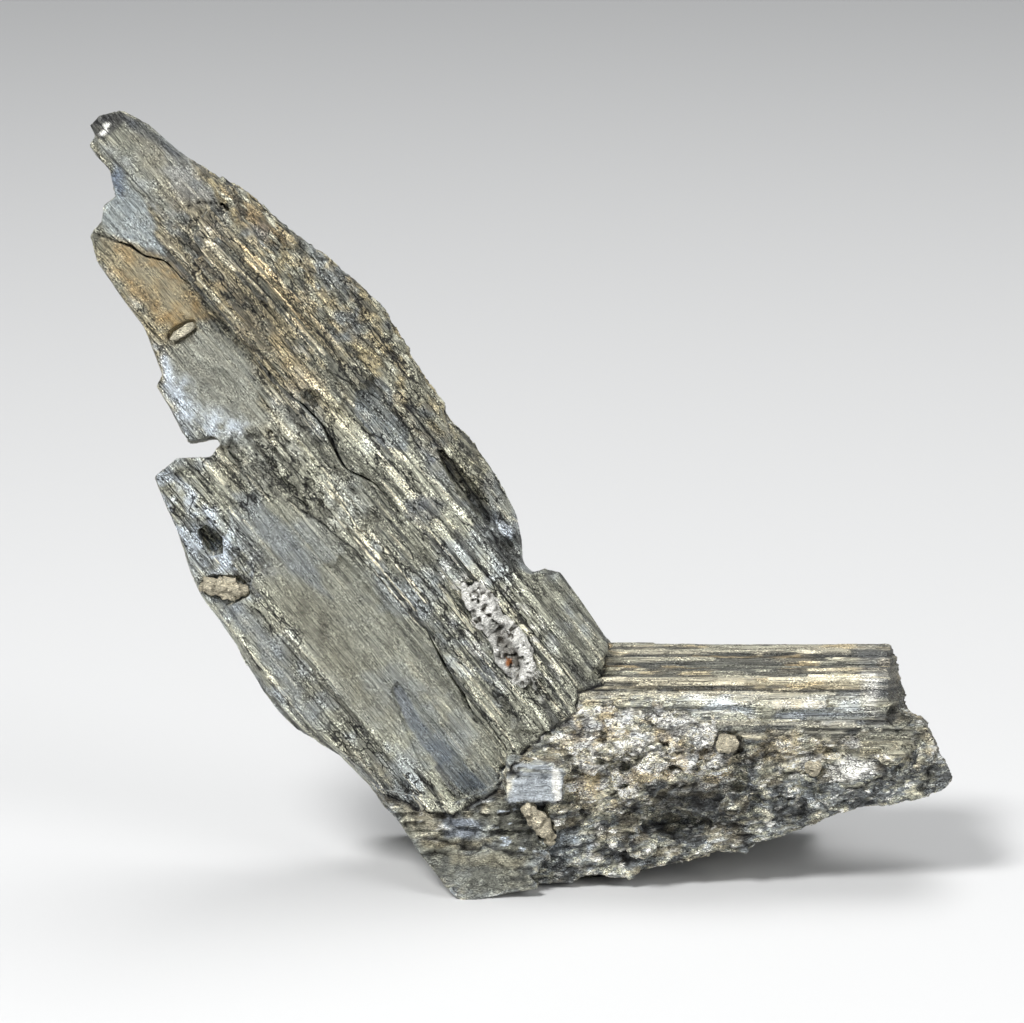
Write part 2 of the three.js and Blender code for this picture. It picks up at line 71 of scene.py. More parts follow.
# Outlines on the front of the blade, each point along and across from its middle
TAN_PLATE = [[-34.6, -0.9], [-28.8, 2.8], [-23.7, 3], [-21.9, 2.1], [-22, 0.3], [-22.1, -2.2], [-32.6, -1.9]]
TIP_SCOOP = [[-39.4, 5], [-35.2, 4.8], [-29.2, 3], [-34.6, -0.1], [-36.6, 1], [-38.6, 3.4]]
BLUE_TIP = [[-39.3, 4], [-39.1, 4.9], [-36.3, 4.4], [-36.2, 3.4], [-38.1, 3.6]]
GREY_PLATE = [[-22, -2.9], [-21.5, 1.8], [-16, 2.9], [-10, 0.6], [-10, -2.6], [-14.1, -6.3], [-19.3, -5.2]]
PLATE_FROST = [
    [-22.7, -3.4], [-19.2, -3.4], [-15.8, -4.2], [-11.5, -1.5], [-10.1, -2.4], [-13.4, -6.8], [-18.3, -5.9],
]
SMOOTH_PLATE = [
    [-4, -3.6], [5, -1.9], [17, -1.6], [30, -3], [34, -7], [30, -10], [18, -12], [5, -11], [-3, -8],
]
BLUE_FACET = [[-6.9, 8.9], [-6, 10.3], [-0.4, 10.3], [1, 9], [-1, 7.6], [-5, 7.4]]
BLUE_STRIP = [
    [19.1, -7.5], [19.2, -6.8], [22, -7.3], [25.4, -7.6], [25.4, -7], [32.8, -6.7], [31.9, -9.2],
    [25.4, -9.1], [22.2, -8.8],
]
STRIP_TOP = [[19.1, -7.5], [19.2, -6.8], [22, -7.3], [22.2, -8.8]]
STRIP_EDGE = [[27.8, -9.7], [27.8, -8.9], [32.1, -9.3], [32.1, -9.8]]
FLAP = [[-13, -11], [-9, -9.5], [-4, -9.8], [2, -11.4], [3.2, -12.4], [0, -14.5], [-8, -15], [-13, -13]]
OLIVE_CENTRE = [[0.7, -8.5], [8.5, -7.1], [21.7, -8.9], [18.6, -12.7], [7.7, -13]]
BROWN_PITS = [[5, -8.2], [11.8, -7.9], [11.7, -9.7], [6, -10.2]]
BRIGHT_LINES = [[-2.9, 0.5], [-1, 2.5], [13.3, 2.1], [18.8, 0.6], [14.9, -0.8], [6.3, -1.5]]
DARK_LUMP = [[4.7, 5.5], [4.9, 7.4], [7.1, 8.9], [8.3, 7.8], [7.9, 5.6], [6.1, 4.7]]
HOOD = [[-42, 9], [-37.5, 11], [-30, 12.4], [-30, 10.4], [-32.6, 7.6], [-38.4, 7.4]]
TAN_STRIPE = [[-29.3, 5], [-26.8, 6.2], [-9.6, 7.2], [-10.7, 4.4], [-19.4, 4.2]]
GOLD_LINES = [[-30, 8.8], [-26, 10.7], [-14.9, 11.4], [-10, 10.2], [-15.9, 8.4]]
RIM_BROWN = [[-30.3, 11.7], [-27.5, 12.8], [-22.2, 13.5], [-23.5, 12], [-27.4, 11.2]]
LEFT_BEVEL = [[-0.2, -16.2], [5.9, -15.3], [15.4, -16.6], [18.5, -15.3], [4.9, -13.2], [-1.6, -13.8]]
LEFT_FOOT = [[15.8, -16.9], [20.3, -14.8], [24.8, -13.3], [28.2, -14.1], [24.7, -15.1]]
GREY_STREAK = [[-6.1, -7.3], [-5.4, -5.5], [1.4, -5.2], [7.7, -6.5], [4.2, -7.5], [-1.4, -7.8]]
PIT_SURROUND = [[-3.5, -11.3], [-1.5, -9.3], [2.1, -9.2], [2.7, -11.7], [-0.3, -12.1]]
CLEFT_FOOT = [[12.8, 10.4], [14.3, 10.8], [17, 10.6], [16.6, 9.2], [14.6, 9.4]]
CRESCENT = [[11.3, 11.2], [12.1, 11.8], [14.4, 11.7], [14.7, 11], [12.9, 10.9]]
BROKEN = [[-15, -4], [-10, 2.5], [-2, 3.2], [5, 3], [4, -2.5], [-4, -5], [-10, -7]]
TIP = [[-44, 4], [-43.6, 7], [-42.6, 9], [-33.9, 11.2], [-29.1, 11], [-31.1, 7.2], [-30, 5], [-40.2, 4.6]]
TIP_RIDGE = [[-42, 4.6], [-41.4, 6.3], [-34.6, 6], [-31.4, 6.7], [-30.6, 5], [-39.6, 5.2]]
HOOD_TAN = [[-40.5, 8.5], [-38.5, 9.6], [-37.1, 9.5], [-34.2, 7.3], [-37, 6.9], [-40.3, 7.9]]
HOOD_EDGE = [[-42.1, 8.7], [-40.1, 10.4], [-35.5, 11], [-35.7, 9.8], [-37.7, 9.6], [-41.2, 8.4]]
KNOB_END = [[-44, 4.5], [-44, 7], [-42.8, 8.8], [-41.9, 8.7], [-41.6, 7], [-42.1, 5.3]]
# A painted reflection: the white glint of light on the knob's end facet
KNOB_PAINTED_REFLECTION = [[-42.5, 5.6], [-42.9, 7.2], [-42.5, 7.2], [-42.2, 5.8]]
BOSS = [[18.6, 10.4], [20.4, 13], [29.3, 12], [31.2, 8], [26.2, 8.1]]
CLEFT = [[1, 10.6], [6, 11.6], [14, 12.6], [14, 10.6], [8, 9.6], [3, 9.4]]

# Cracks on the front of the blade: width, depth and points along and across
CRACKS = [
    (0.12, 0.5, [[-13.6, 3.5], [-9.8, 3.9], [-6.2, 4.1], [-1.5, 3.1], [1.6, 4.4], [5.1, 4.4]]),
    (0.1, 0.4, [[16.1, -1], [20.3, -1.9], [23.4, -2.3], [27, -3.1]]),
    (0.1, 0.4, [[-35, -0.9], [-31.9, 0.9], [-30.3, 1.4], [-28.7, 2.6], [-25.4, 2.8]]),
    (0.1, 0.4, [[-31.8, 7.1], [-31.3, 8.8], [-29.4, 10.7], [-27.6, 10.7]]),
    (0.1, 0.4, [[-6.4, 5.2], [-3.6, 3.7], [-1.6, 3.2]]),
    (0.1, 0.3, [[-2.9, -3.3], [5.4, -1.3], [9.8, -1.3], [17.2, -1], [21.9, -2], [29.9, -2.6], [33.2, -2.7]]),
    (0.1, 0.3, [[-11.3, 11], [-1.2, 10.4], [1.7, 10.2]]),
    (0.15, 0.4, [[-2.8, 11.8], [0.1, 11.9], [2.7, 11.7], [5.7, 11.2], [10, 10.9], [14.2, 10.1]]),
    (0.15, 0.5, [[along, across] for along, across in zip(SUTURE_ALONG, SUTURE_ACROSS)]),
]

# The first of these are cut into the solid too
SOLID_CRACKS = 4

# The height across the sloping faces: its share of z and of y
BAND_RISE = 0.966
BAND_DEPTH = 0.259

# Outlines on the front of the prism and the ore: x, and the height across the sloping faces
TOE = [
    [-12.2, 8.4], [-9.8, 7.4], [-4.5, 6.2], [0, 7.4], [2, 7.1], [4, 2.8], [3.2, -1.2], [-3, -2.6], [-7, 0.4],
]
TOE_BAND = [[-7.8, 3.5], [-5, 3.2], [-1, 3.5], [-1, 2.8], [-5, 2.4], [-7.4, 2.6]]
TOE_LOW = [[-2.5, 0.6], [5, 0.7], [5, -1.6], [-2.5, -2.2]]
BLUE_SPOT = [[-2.3, 7.4], [-0.7, 7.9], [-0.7, 7.2], [-2.2, 6.9]]
BLUE_FLECKS = [[3.2, 4.6], [7, 4.4], [9.5, 2.8], [8.5, 0.4], [3.5, 1]]
TOE_GRAINS = [[-9.8, 7.4], [-5.4, 7.2], [-5.4, 3.4], [-8, 3.4]]
TOE_LENS = [[-5.8, 5.6], [-3, 5.9], [-1.8, 4.9], [-2, 3.7], [-5.6, 3.6]]
TOE_BLOBS = [[-5.8, 6.6], [-4.6, 6.7], [-3, 6.8], [-0.8, 6.9], [-0.8, 5.8], [-4.6, 6], [-5.7, 5.9]]
TOE_DARK = [[-0.8, 6.8], [4, 6.8], [4, 2.2], [-0.5, 2.6]]
TOE_SLAB = [[-5.4, 2], [2.8, 1.7], [2.4, 0.6], [-5, 0.9]]
TOE_FACE = [[-7, 2], [0, 0.5], [0.5, -1], [-3, -2.6], [-6, -0.5]]
TOE_SEAM = [[-7.6, 3.6], [-3.6, 2.6], [2, 2.3]]
BLOCK = [[0.6, 11.5], [5.4, 11.4], [6.2, 10.7], [6.3, 7.2], [0.8, 7]]
BLOCK_EDGE = [[5.3, 11], [5.9, 10.6], [6.1, 7.3], [5.4, 7.3]]
BLOCK_PIT = [[1, 10.6], [2, 10.6], [2, 10.1], [1, 10.1]]
BLOCK_STAIN = [[0.4, 11.5], [1.8, 11.5], [1.5, 9], [0.5, 7.5]]
PALE_PATCH = [[6.2, 16.5], [10, 17.6], [17, 17.8], [24, 15], [26, 12], [22, 8.5], [14, 7.3], [7, 7]]
PALE_SHELF = [[24, 14], [39, 14.3], [39, 12], [33, 11], [26, 9.5]]
PALE_LENS = [[32.7, 10.6], [34.5, 11.7], [37.2, 11.3], [37.4, 10], [35, 9], [33, 9.3]]
# Painted shade: the dark of the ore's hollow, where it lies in shadow
HOLLOW_PAINTED_SHADE = [[15, 7.6], [20, 8], [22.3, 6], [20, 3.2], [16, 2.6]]
STUB = [[36, 14.3], [41.1, 14.3], [41.1, 12], [36, 11.9]]
PRISM_GRAINS = [[9, 18.4], [19, 18], [20, 15.5], [16, 13.9], [10, 14]]
PRISM_CORNER = [[35.5, 23.5], [40, 23.5], [40, 17.6], [37, 17.6]]
PRISM_FROST = [[18.6, 18], [24, 18], [28, 17], [36, 18], [36, 15.6], [28, 15.8], [24, 15.8], [19, 16]]
# A painted highlight: the white glint down the prism near its end
PRISM_GLINT = [[36.3, 20.1], [37.7, 20.1], [37.8, 16.4], [36.3, 16.4]]

# The hollow along the crust's middle, the rusty spot in it and the white crumbs around the crust, along and
# across the blade
CRUST_HEART = [[19.5, 4.7], [21, 5.2], [23.5, 4.9], [25.2, 4.2], [25, 3.5], [23, 3.3], [20.5, 4.2]]
RUST_SPOT = [23.8, 3.5]
CRUST_SURROUND = [[12, 4], [15, 8], [24, 8], [29, 5], [28, 2], [20, 1.5]]

# Grooves along the prism, and ridges where the depth is below 0: the height across the sloping faces,
# half the width and the depth
PRISM_GROOVES = [
    (14.3, 0.15, 0.3), (15.3, 0.12, 0.25), (17.05, 0.4, -0.55), (18.4, 0.18, 0.35), (19.5, 0.35, -0.15),
    (20.85, 0.2, 0.3), (21.75, 0.15, 0.3),
]

# The notch in the prism's end: its middle, its reach along x, y and z, and its depth
END_NOTCH = [39.9, -6.0, 18.2]
END_NOTCH_REACH = [1.6, 4.0, 1.3]
END_NOTCH_DEPTH = 1.6

# Colours, as linear red, green and blue
OLIVE = (0.2, 0.2, 0.16)
OLIVE_DARK = (0.055, 0.056, 0.05)
OLIVE_LIGHT = (0.36, 0.355, 0.28)
CREAM = (0.66, 0.61, 0.46)
FROST = (0.5, 0.55, 0.6)
TAN = (0.27, 0.22, 0.12)
BLACK = (0.01, 0.01, 0.011)
WHITE = (0.78, 0.77, 0.72)
ORANGE = (0.42, 0.15, 0.04)
BUFF = (0.6, 0.54, 0.4)
GOLD = (0.5, 0.37, 0.18)
SLATE = (0.1, 0.105, 0.105)
STRAW = (0.27, 0.25, 0.19)
EARTH = (0.22, 0.19, 0.125)
STEEL = (0.19, 0.205, 0.205)

# Stains on the front of the blade, with a painted reflection at the knob's end: the outline, the colour,
# how strong and how mottled it is, and the width of its soft border
BLADE_STAINS_AND_REFLECTION = [
    (SMOOTH_PLATE, (0.19, 0.195, 0.165), 0.35, 0.6, 1.5),
    (OLIVE_CENTRE, (0.19, 0.185, 0.14), 0.8, 0.2, 2.5),
    (BROKEN, OLIVE_LIGHT, 0.4, 0.3, 1.5),
    (HOOD, (0.25, 0.25, 0.23), 0.6, 0.6, 1),
    (TIP_RIDGE, (0.31, 0.325, 0.31), 0.5, 0.8, 0.6),
    (HOOD_TAN, (0.24, 0.225, 0.165), 0.6, 0.6, 0.5),
    (HOOD_EDGE, (0.05, 0.055, 0.06), 0.8, 0.5, 0.4),
    (KNOB_END, (0.03, 0.03, 0.032), 0.85, 0.3, 0.25),
    # A painted reflection: the white glint on the knob's end facet
    (KNOB_PAINTED_REFLECTION, WHITE, 1, 0, 0.1),
    (LEFT_BEVEL, (0.21, 0.23, 0.24), 0.7, 0.4, 0.8),
    (LEFT_FOOT, (0.3, 0.28, 0.2), 0.3, 1, 0.8),
    (TAN_STRIPE, (0.26, 0.205, 0.115), 0.4, 0.6, 1),
    (TAN_PLATE, (0.26, 0.225, 0.145), 0.8, 0.2, 0.3),
    (TAN_PLATE, (0.25, 0.175, 0.08), 0.3, 1, 0.6),
    (TIP_SCOOP, (0.27, 0.3, 0.305), 0.8, 0.3, 0.3),
    (BLUE_TIP, (0.12, 0.15, 0.2), 0.8, 0.3, 0.6),
    (GREY_PLATE, (0.24, 0.245, 0.21), 0.8, 0.2, 1),
    (PLATE_FROST, FROST, 0.55, 0.9, 0.8),
    (GREY_STREAK, STEEL, 0.8, 0.2, 0.4),
    (PIT_SURROUND, SLATE, 0.6, 0.5, 1),
    (BROWN_PITS, (0.07, 0.066, 0.05), 0, 1.5, 1.5),
    (FLAP, FROST, 0.3, 1.3, 0.6),
    (DARK_LUMP, SLATE, 0.8, 0.4, 0.4),
    (CLEFT, (0.17, 0.185, 0.2), 0.7, 0.5, 0.8),
    (CLEFT_FOOT, OLIVE_DARK, 0.8, 0.3, 0.5),
    (CRESCENT, FROST, 0.8, 0.4, 0.3),
    (BLUE_FACET, (0.16, 0.175, 0.175), 0.85, 0.3, 0.15),
    (BLUE_STRIP, (0.125, 0.145, 0.165), 0.75, 0.4, 0.15),
    (STRIP_TOP, (0.2, 0.215, 0.225), 0.7, 0.4, 0.15),
    (STRIP_EDGE, (0.05, 0.055, 0.07), 0.7, 0.3, 0.2),
]

# Stains on the toe, the ore and the prism, in the same way, with painted shade in the ore's hollow and a
# painted glint on the prism
TOE_STAINS = [
    (TOE_GRAINS, (0.33, 0.3, 0.22), 0.6, 0.8, 1),
    (TOE_LENS, (0.27, 0.3, 0.34), 0.8, 0.5, 0.3),
    (TOE_BLOBS, CREAM, 0.4, 1.2, 0.5),
    (TOE_BAND, (0.25, 0.225, 0.155), 0.7, 0.5, 0.3),
    (TOE_LOW, OLIVE_DARK, 0.4, 1, 0.5),
    (BLUE_SPOT, (0.16, 0.22, 0.32), 0.7, 0.5, 0.2),
    (TOE_FACE, (0.19, 0.195, 0.165), 0.7, 0.5, 0.6),
    (TOE_SLAB, (0.25, 0.235, 0.17), 0.8, 0.3, 0.3),
]
BLOCK_STAINS = [
    (BLOCK_EDGE, WHITE, 0.9, 0.3, 0.15),
    (BLOCK_STAIN, CREAM, 0.4, 1, 0.4),
    (BLOCK_PIT, BLACK, 1, 0, 0.2),
]
ORE_STAINS_AND_SHADE = [
    (PALE_LENS, WHITE, 0.7, 0.4, 0.3),
    (BLUE_FLECKS, (0.3, 0.34, 0.38), 0.2, 1.2, 0.8),
    # Painted shade in the ore's hollow
    (HOLLOW_PAINTED_SHADE, BLACK, 0.45, 0.4, 0.8),
]
PRISM_STAINS_AND_GLINT = [
    (PRISM_CORNER, SLATE, 0.8, 0.3, 0.8),
    (PRISM_FROST, FROST, 0.45, 0.9, 1),
    (STUB, OLIVE_LIGHT, 0.5, 0.5, 0.3),
    # A painted highlight
    (PRISM_GLINT, WHITE, 0.5, 0.6, 0.5),
]

# The shades of the ore's shreds and of its pale grains, from dark to light
ORE_SHADES = [
    (0, BLACK), (0.15, OLIVE_DARK), (0.3, SLATE), (0.45, STEEL),
    (0.55, OLIVE), (0.7, OLIVE_LIGHT), (0.85, CREAM), (1, WHITE),
]

# The smooth parts of the blade, and how smooth they are
CALM = [
    (SMOOTH_PLATE, 0.8), (TAN_PLATE, 0.8), (GREY_PLATE, 0.8), (TIP_SCOOP, 0.8), (LEFT_BEVEL, 0.8),
    (TIP, 0.6), (BOSS, 0.5),
]

# How much brighter the surface is than these colours, with its cracks and pits counted
BRIGHTER = 1.28

# The prism's bands from its foot to its top edge: the height across the sloping faces, and the colour. The
# dark bands lie in the grooves, partly the prism's own dark lines and partly painted shade in them.
PRISM_BANDS = [
    (13.8, EARTH), (14.2, OLIVE_DARK), (14.4, OLIVE_DARK), (14.7, OLIVE_LIGHT), (15.2, STRAW), (15.3, SLATE),
    (15.5, OLIVE_LIGHT), (16.5, OLIVE_LIGHT), (18.1, STRAW), (18.3, OLIVE_DARK), (18.45, OLIVE_DARK),
    (18.7, EARTH), (19.5, STRAW), (20.5, OLIVE_LIGHT), (20.7, OLIVE_DARK), (21, OLIVE_DARK), (21.2, STRAW),
    (21.5, STRAW), (21.65, OLIVE_DARK), (21.9, OLIVE_DARK), (22.1, STRAW), (22.6, STRAW), (22.9, OLIVE_DARK),
]

# The camera looks down on the front at this angle, through a long lens. FRAME_WIDTH is what it shows across.
CAMERA_TILT = math.radians(15)
CAMERA_TARGET = np.array([1.2, 0.0, 37.55])
CAMERA_LENS = 200.0
CAMERA_SENSOR = 36.0
FRAME_WIDTH = 102.4

# The studio in metres and watts: each light's name, place, width and height, and power
LIGHTS = [
    ("key", (-0.3, -0.4, 0.6), (0.2, 0.2), 6),
    ("fill", (0.5, -0.4, 0.3), (0.3, 0.4), 2),
    ("top", (0.1, 0.15, 0.6), (0.4, 0.4), 2),
]
LIGHT_TARGET = (0, 0, 0.04)
FLOOR_SIZE = 6
FLOOR_COLOUR = (0.62, 0.62, 0.62, 1)
FLOOR_ROUGHNESS = 0.8
SKY_COLOUR = (0.93, 0.97, 1, 1)
SKY_STRENGTH = 0.22

# Laths of the blade from broad to thin: width, length, step from one to the next and tilt
BLADE_PLATES = [(2.6, 20, 0.3, 0.12), (0.9, 10, 0.18, 0.14), (0.32, 6, 0.07, 0)]

# Ridges of the prism and of the toe: width, length and height
PRISM_RIDGES = [(1.2, 40, 0.16), (0.35, 12, 0.14)]
TOE_RIDGES = [(1.8, 9, 0.3), (0.5, 5, 0.12)]

# How far the toe's ridges slant, and the size of its creases
TOE_SLANT = 0.1
TOE_CREASE = 1.8

# Slivers of the rim: width, length and seed
RIM_SLIVER = (0.45, 1.5, 43)

# The sizes of the ore's shreds, of the flakes on them, of its creases and of the grains in its pale patch
ORE_SHRED = 1.1
ORE_FLAKE = 0.32
ORE_CREASE = 2.2
PALE_GRAIN = 0.38

# The ore's shreds are longer along x and dip a little to the right
ORE_GRAIN = np.array([[0.5, 0, -0.15], [0, 0.9, 0], [0.15, 0, 1]])

# The meshes over the blade and over the rest: the size of a cell, and how many times longer it is along the
# striations. Each reaches a little past the suture.
BLADE_CELL = (0.125, 3.0)
BASE_CELL = (0.135, 2.0)
OVERLAP = 0.3

# The meshes over the crust and over the chips: the size of a cell
CRUST_CELL = 0.11
CHIP_CELL = 0.07

# How cracked the crust and the chips are
FEW_CRACKS = 0.2

# The chips: the node, the colour, how broken it is and how much is worn off it
CHIPS = [
    ("buff_shard_upper", BUFF, 0.35, 0), ("pale_lath", CREAM, 0.1, 0.08), ("buff_shard_lower", BUFF, 0.3, 0),
    ("buff_pebble", BUFF, 0.25, 0), ("buff_crumb", BUFF, 0.25, 0),
]

# What is behind this y goes into the pieces of the back
BACK_FROM = 1

# Cells of the materials' noises along and across the striations: specks, the patches they gather in, and the
# sway of the hairline cracks
SPECK_CELL = (0.2, 0.11, 0.11)
PATCH_CELL = (1.6, 0.7, 0.7)
SWAY_CELL = (1.2, 0.7, 0.7)

# The darkest shade of a pit, how far the roughness varies, and the height of the finest bumps in metres
DARKEST = 0.08
ROUGHNESS_SPREAD = 0.12
BUMP_HEIGHT = 0.00022


# Numbers that look random and are the same in every run. A noise's points are divided by the size of its
# features, and its last number is its seed.

LOW_BITS = np.uint64(2**32 - 1)

# Odd numbers that mix up the bits of whole numbers, each with the shift that follows it
GOLDEN = 0x9E3779B1
MIXERS = [(np.uint64(GOLDEN), np.uint64(15)), (np.uint64(0x85EBCA77), np.uint64(13))]


def chance(seed, *places):
    """A number from 0 to 1 for each whole-number place."""
    mixed = np.full(np.shape(places[0]), (seed * GOLDEN + 97) % 2**32, np.uint64)
    for place in places:
        mixed ^= place.astype(np.int64).astype(np.uint64) & LOW_BITS
        for factor, shift in MIXERS:
            mixed = mixed * factor & LOW_BITS
            mixed ^= mixed >> shift
    return mixed / 2.0**32


def noise(points, seed):
    """Smooth noise from -1 to 1 with features about 1 unit wide."""
    cell = np.floor(points)
    part = points - cell
    part = part**3 * (part * (part * 6 - 15) + 10)
    total = np.zeros(len(points))
    for corner in itertools.product((0, 1), repeat=points.shape[1]):
        weight = np.ones(len(points))
        for axis, high in enumerate(corner):
            weight = weight * (part[:, axis] if high else 1 - part[:, axis])
        total += weight * chance(seed, *(cell[:, axis] + high for axis, high in enumerate(corner)))
    return 2 * total - 1


def fractal(points, seed, octaves=3):
    """Noise with finer noise on it, each octave half as strong."""
    total = np.zeros(len(points))
    for octave in range(octaves):
        total += noise(points * 2.03**octave, seed + octave) / 2**octave
    return total / 1.6


def creases(points, seed):
    """1 along thin wandering lines, falling to 0 between them."""
    return np.clip(1 - np.abs(fractal(points, seed)) * 3.5, 0, 1) ** 2


def cells(points, seed):
    """The offset from the nearest of scattered spots, how clearly it is the nearest, and its own number."""
    home = np.floor(points)
    near = np.full(len(points), 9.0)
    second = near.copy()
    owner = np.zeros(len(points))
    offset = np.zeros((3, len(points)))
    for step in itertools.product((-1, 0, 1), repeat=3):
        cell = (home + step).T
        gap = points.T - cell - np.stack([chance(seed + axis, *cell) for axis in range(3)])
        size = np.linalg.norm(gap, axis=0)
        closer = size < near
        second = np.where(closer, near, np.minimum(second, size))
        owner = np.where(closer, chance(seed + 7, *cell), owner)
        offset = np.where(closer, gap, offset)
        near = np.minimum(near, size)
    return offset.T, second - near, owner


def facets(points, size, slope, step, seed):
    """A height made of broken, tilted faces, the distance from their edges, and each face's own number."""
    offset, border, owner = cells(points / size, seed)
    tilt = np.stack([np.sin(owner * 911), np.sin(owner * 577 + 1), np.sin(owner * 353 + 2)], 1)
    height = (offset * tilt).sum(1) * slope * size + (owner - 0.5) * step
    return height, border * size, owner


def ramp(value, low, high):
    """0 below low, 1 above high and smooth between them."""
    part = np.clip((value - low) / (high - low), 0, 1)
    return part * part * (3 - 2 * part)


def fade(distance, width):
    """1 on a line, fading to 0 on both sides of it."""
    return np.exp(-((distance / width) ** 2))


def laths(across, along, width, length, seed):
    """Each point's lath: its own number from 0 to 1, the place across it from -0.5 to 0.5, and the distances
    from its side and from its end."""
    spread = np.stack([across / width / 1.7, np.full_like(across, seed * 1.37)], 1)
    place = across / width + 0.45 * noise(spread, seed)
    row = np.floor(place)
    inner = place - row - 0.5
    own_length = length * (0.5 + 1.2 * chance(seed + 1, row))
    run = (along + 97 * chance(seed + 2, row)) / own_length
    piece = np.floor(run)
    side = (0.5 - np.abs(inner)) * width
    end = (0.5 - np.abs(run - piece - 0.5)) * own_length
    return chance(seed + 3, row, piece), inner, side, end


# Placing on the cluster

def blade_axes(points):
    """How far each point is along and across the blade from its middle."""
    offset = points - BLADE_MIDDLE
    return offset @ ALONG, offset @ ACROSS


def past_suture(points):
    """How far each point is past the suture, towards the prism and the ore."""
    along, across = blade_axes(points)
    return along - np.interp(across, SUTURE_ACROSS, SUTURE_ALONG)


def line_distance(along, across, line):
    """How far each point is from a line of straight pieces."""
    distance = np.full(len(along), 1e9)
    for (a0, b0), (a1, b1) in zip(line, line[1:]):
        da, db = a1 - a0, b1 - b0
        part = np.clip(((along - a0) * da + (across - b0) * db) / (da * da + db * db), 0, 1)
        distance = np.minimum(distance, np.hypot(along - a0 - part * da, across - b0 - part * db))
    return distance


def inside(along, across, outline, soft):
    """1 inside an outline, 0 outside it and smooth over a soft border."""
    border = line_distance(along, across, outline + outline[:1])
    within = np.zeros(len(along), bool)
    for (a0, b0), (a1, b1) in zip(outline, outline[1:] + outline[:1]):
        spans = (b0 > across) != (b1 > across)
        within ^= spans & (along < a0 + (across - b0) * (a1 - a0) / (b1 - b0 or 1e-9))
    return ramp(np.where(within, border, -border), -soft, soft)


class Place:
    """Where points lie on the cluster, and how much of each belongs to the blade, the prism and the ore."""

    def __init__(self, points, normals):
        self.points = points
        self.normals = normals
        self.along, self.across = blade_axes(points)
        self.band = BAND_RISE * points[:, 2] + BAND_DEPTH * points[:, 1]
        self.ragged = fractal(points / 1.3, 11)
        self.front = ramp(-normals[:, 1], -0.1, 0.3)
        past = ramp(past_suture(points) + 0.4 * self.ragged, -0.2, 0.2)
        top = np.interp(points[:, 0], ORE_X, ORE_Z) + 1.6 * self.ragged
        self.ore = past * ramp(top - points[:, 2], -0.4, 0.4) * (1 - self.spot(STUB))
        self.prism = past - self.ore
        self.toe = self.ore * np.maximum(self.spot(TOE, 0.5), self.spot(BLOCK))
        rim = ramp(self.across + 0.7 * self.ragged, 9.9, 11.2) * ramp(self.along, -38, -33)
        self.rim = (1 - past) * rim * ramp(-self.along, -14, -9)
        self.blade = 1 - past - self.rim
        back = normals[:, 1] > 0
        bent = BEND * (self.along - STRAIGHT_AT) ** 2
        self.lie = self.across + bent + 0.1 * fractal(points / 6, 21) + BACK_LATHS * back
        self.run = self.along + 0.4 * fractal(points / 0.7, 23)
        shelf = 0.6 * self.spot(PALE_SHELF, 1)
        self.pale = np.maximum(self.spot(PALE_PATCH, 1.5), shelf) * ramp(fractal(points / 3.5, 82), -0.5, 0)

    def only(self, chosen):
        """The same places for some of the points."""
        part = object.__new__(Place)
        part.__dict__ = {name: values[chosen] for name, values in self.__dict__.items()}
        return part

    def patch(self, outline, soft=0.6):
        """How much of each point is inside an outline on the front of the blade."""
        shake = self.ragged * min(soft / 0.6, 1)
        return inside(self.along + 1.1 * shake, self.across + 0.6 * shake, outline, soft) * self.front

    def spot(self, outline, soft=0.3):
        """How much of each point is inside an outline on the front of the prism and the ore."""
        shake = self.ragged * min(soft / 0.3, 1)
        return inside(self.points[:, 0] + 0.5 * shake, self.band + 0.4 * shake, outline, soft) * self.front

    def calm(self):
        """How smooth each point of the blade is."""
        return np.maximum.reduce([amount * self.patch(outline, 0.8) for outline, amount in CALM])

    def plates(self):
        """The laths of the blade from broad to thin."""
        sizes = enumerate(BLADE_PLATES)
        return [laths(self.lie, self.run, width, length, 3 + 5 * i) for i, (width, length, *_) in sizes]


def where(place, weight, function):
    """A function's values times their weight, worked out only for the points that have some weight."""
    chosen = weight > 0.01
    values = function(place.only(chosen))
    result = np.zeros((len(weight), *values.shape[1:]))
    result[chosen] = (values.T * weight[chosen]).T
    return result


# Relief: how far the surface stands out or lies back

def lean(owner, turns=611):
    """Which way each lath or sliver leans, from -1 to 1, worked out from its own number."""
    return np.sin(owner * turns)


def splinters(place, width, length, seed):
    """Slivers that taper along the striations: their height, the distance from their edges, and a number."""
    lying = np.stack([place.run / length, place.lie / width, place.points[:, 1] / (3 * width)], 1)
    offset, border, owner = cells(lying, seed)
    height = (owner - 0.5) + 0.9 * lean(owner) * offset[:, 1]
    height += 0.3 * lean(owner, 397) * offset[:, 0]
    return height, border * width, owner


def blade_relief(place):
    """Straight laths in steps, with slivers where the blade is rough and faces where it is broken."""
    lift = np.zeros(len(place.points))
    for (width, length, step, tilt), (owner, inner, side, end) in zip(BLADE_PLATES, place.plates()):
        lift += step * (owner - 0.5) + tilt * lean(owner) * inner
        lift -= 0.6 * step * fade(side, 0.09) * (owner > 0.6)
    slivers, *_ = splinters(place, 0.7, 4, 5)
    lift += 0.35 * slivers * ramp(fractal(place.points / 4, 35), 0, 0.5)
    broken, border, _ = facets(place.points + 0.3 * place.ragged[:, None], 1.5, 0.3, 0.2, 33)
    lift += (broken - 0.15 * fade(border, 0.15)) * place.patch(BROKEN, 1)
    flatness = ramp(np.abs(place.normals[:, 1]), 0.1, 0.7) * 0.8 + 0.2
    lift = lift * (1 - place.calm()) + 0.4 * place.patch(DARK_LUMP)
    return (lift + 0.07 * fractal(place.points / 0.4, 31)) * flatness


def rim_relief(place):
    """Broken faces with short slivers on them."""
    height, *_ = facets(place.points, 1.3, 0.2, 0.12, 41)
    slivers, *_ = splinters(place, *RIM_SLIVER)
    return 0.8 * height + 0.14 * slivers + 0.07 * fractal(place.points / 0.4, 45)


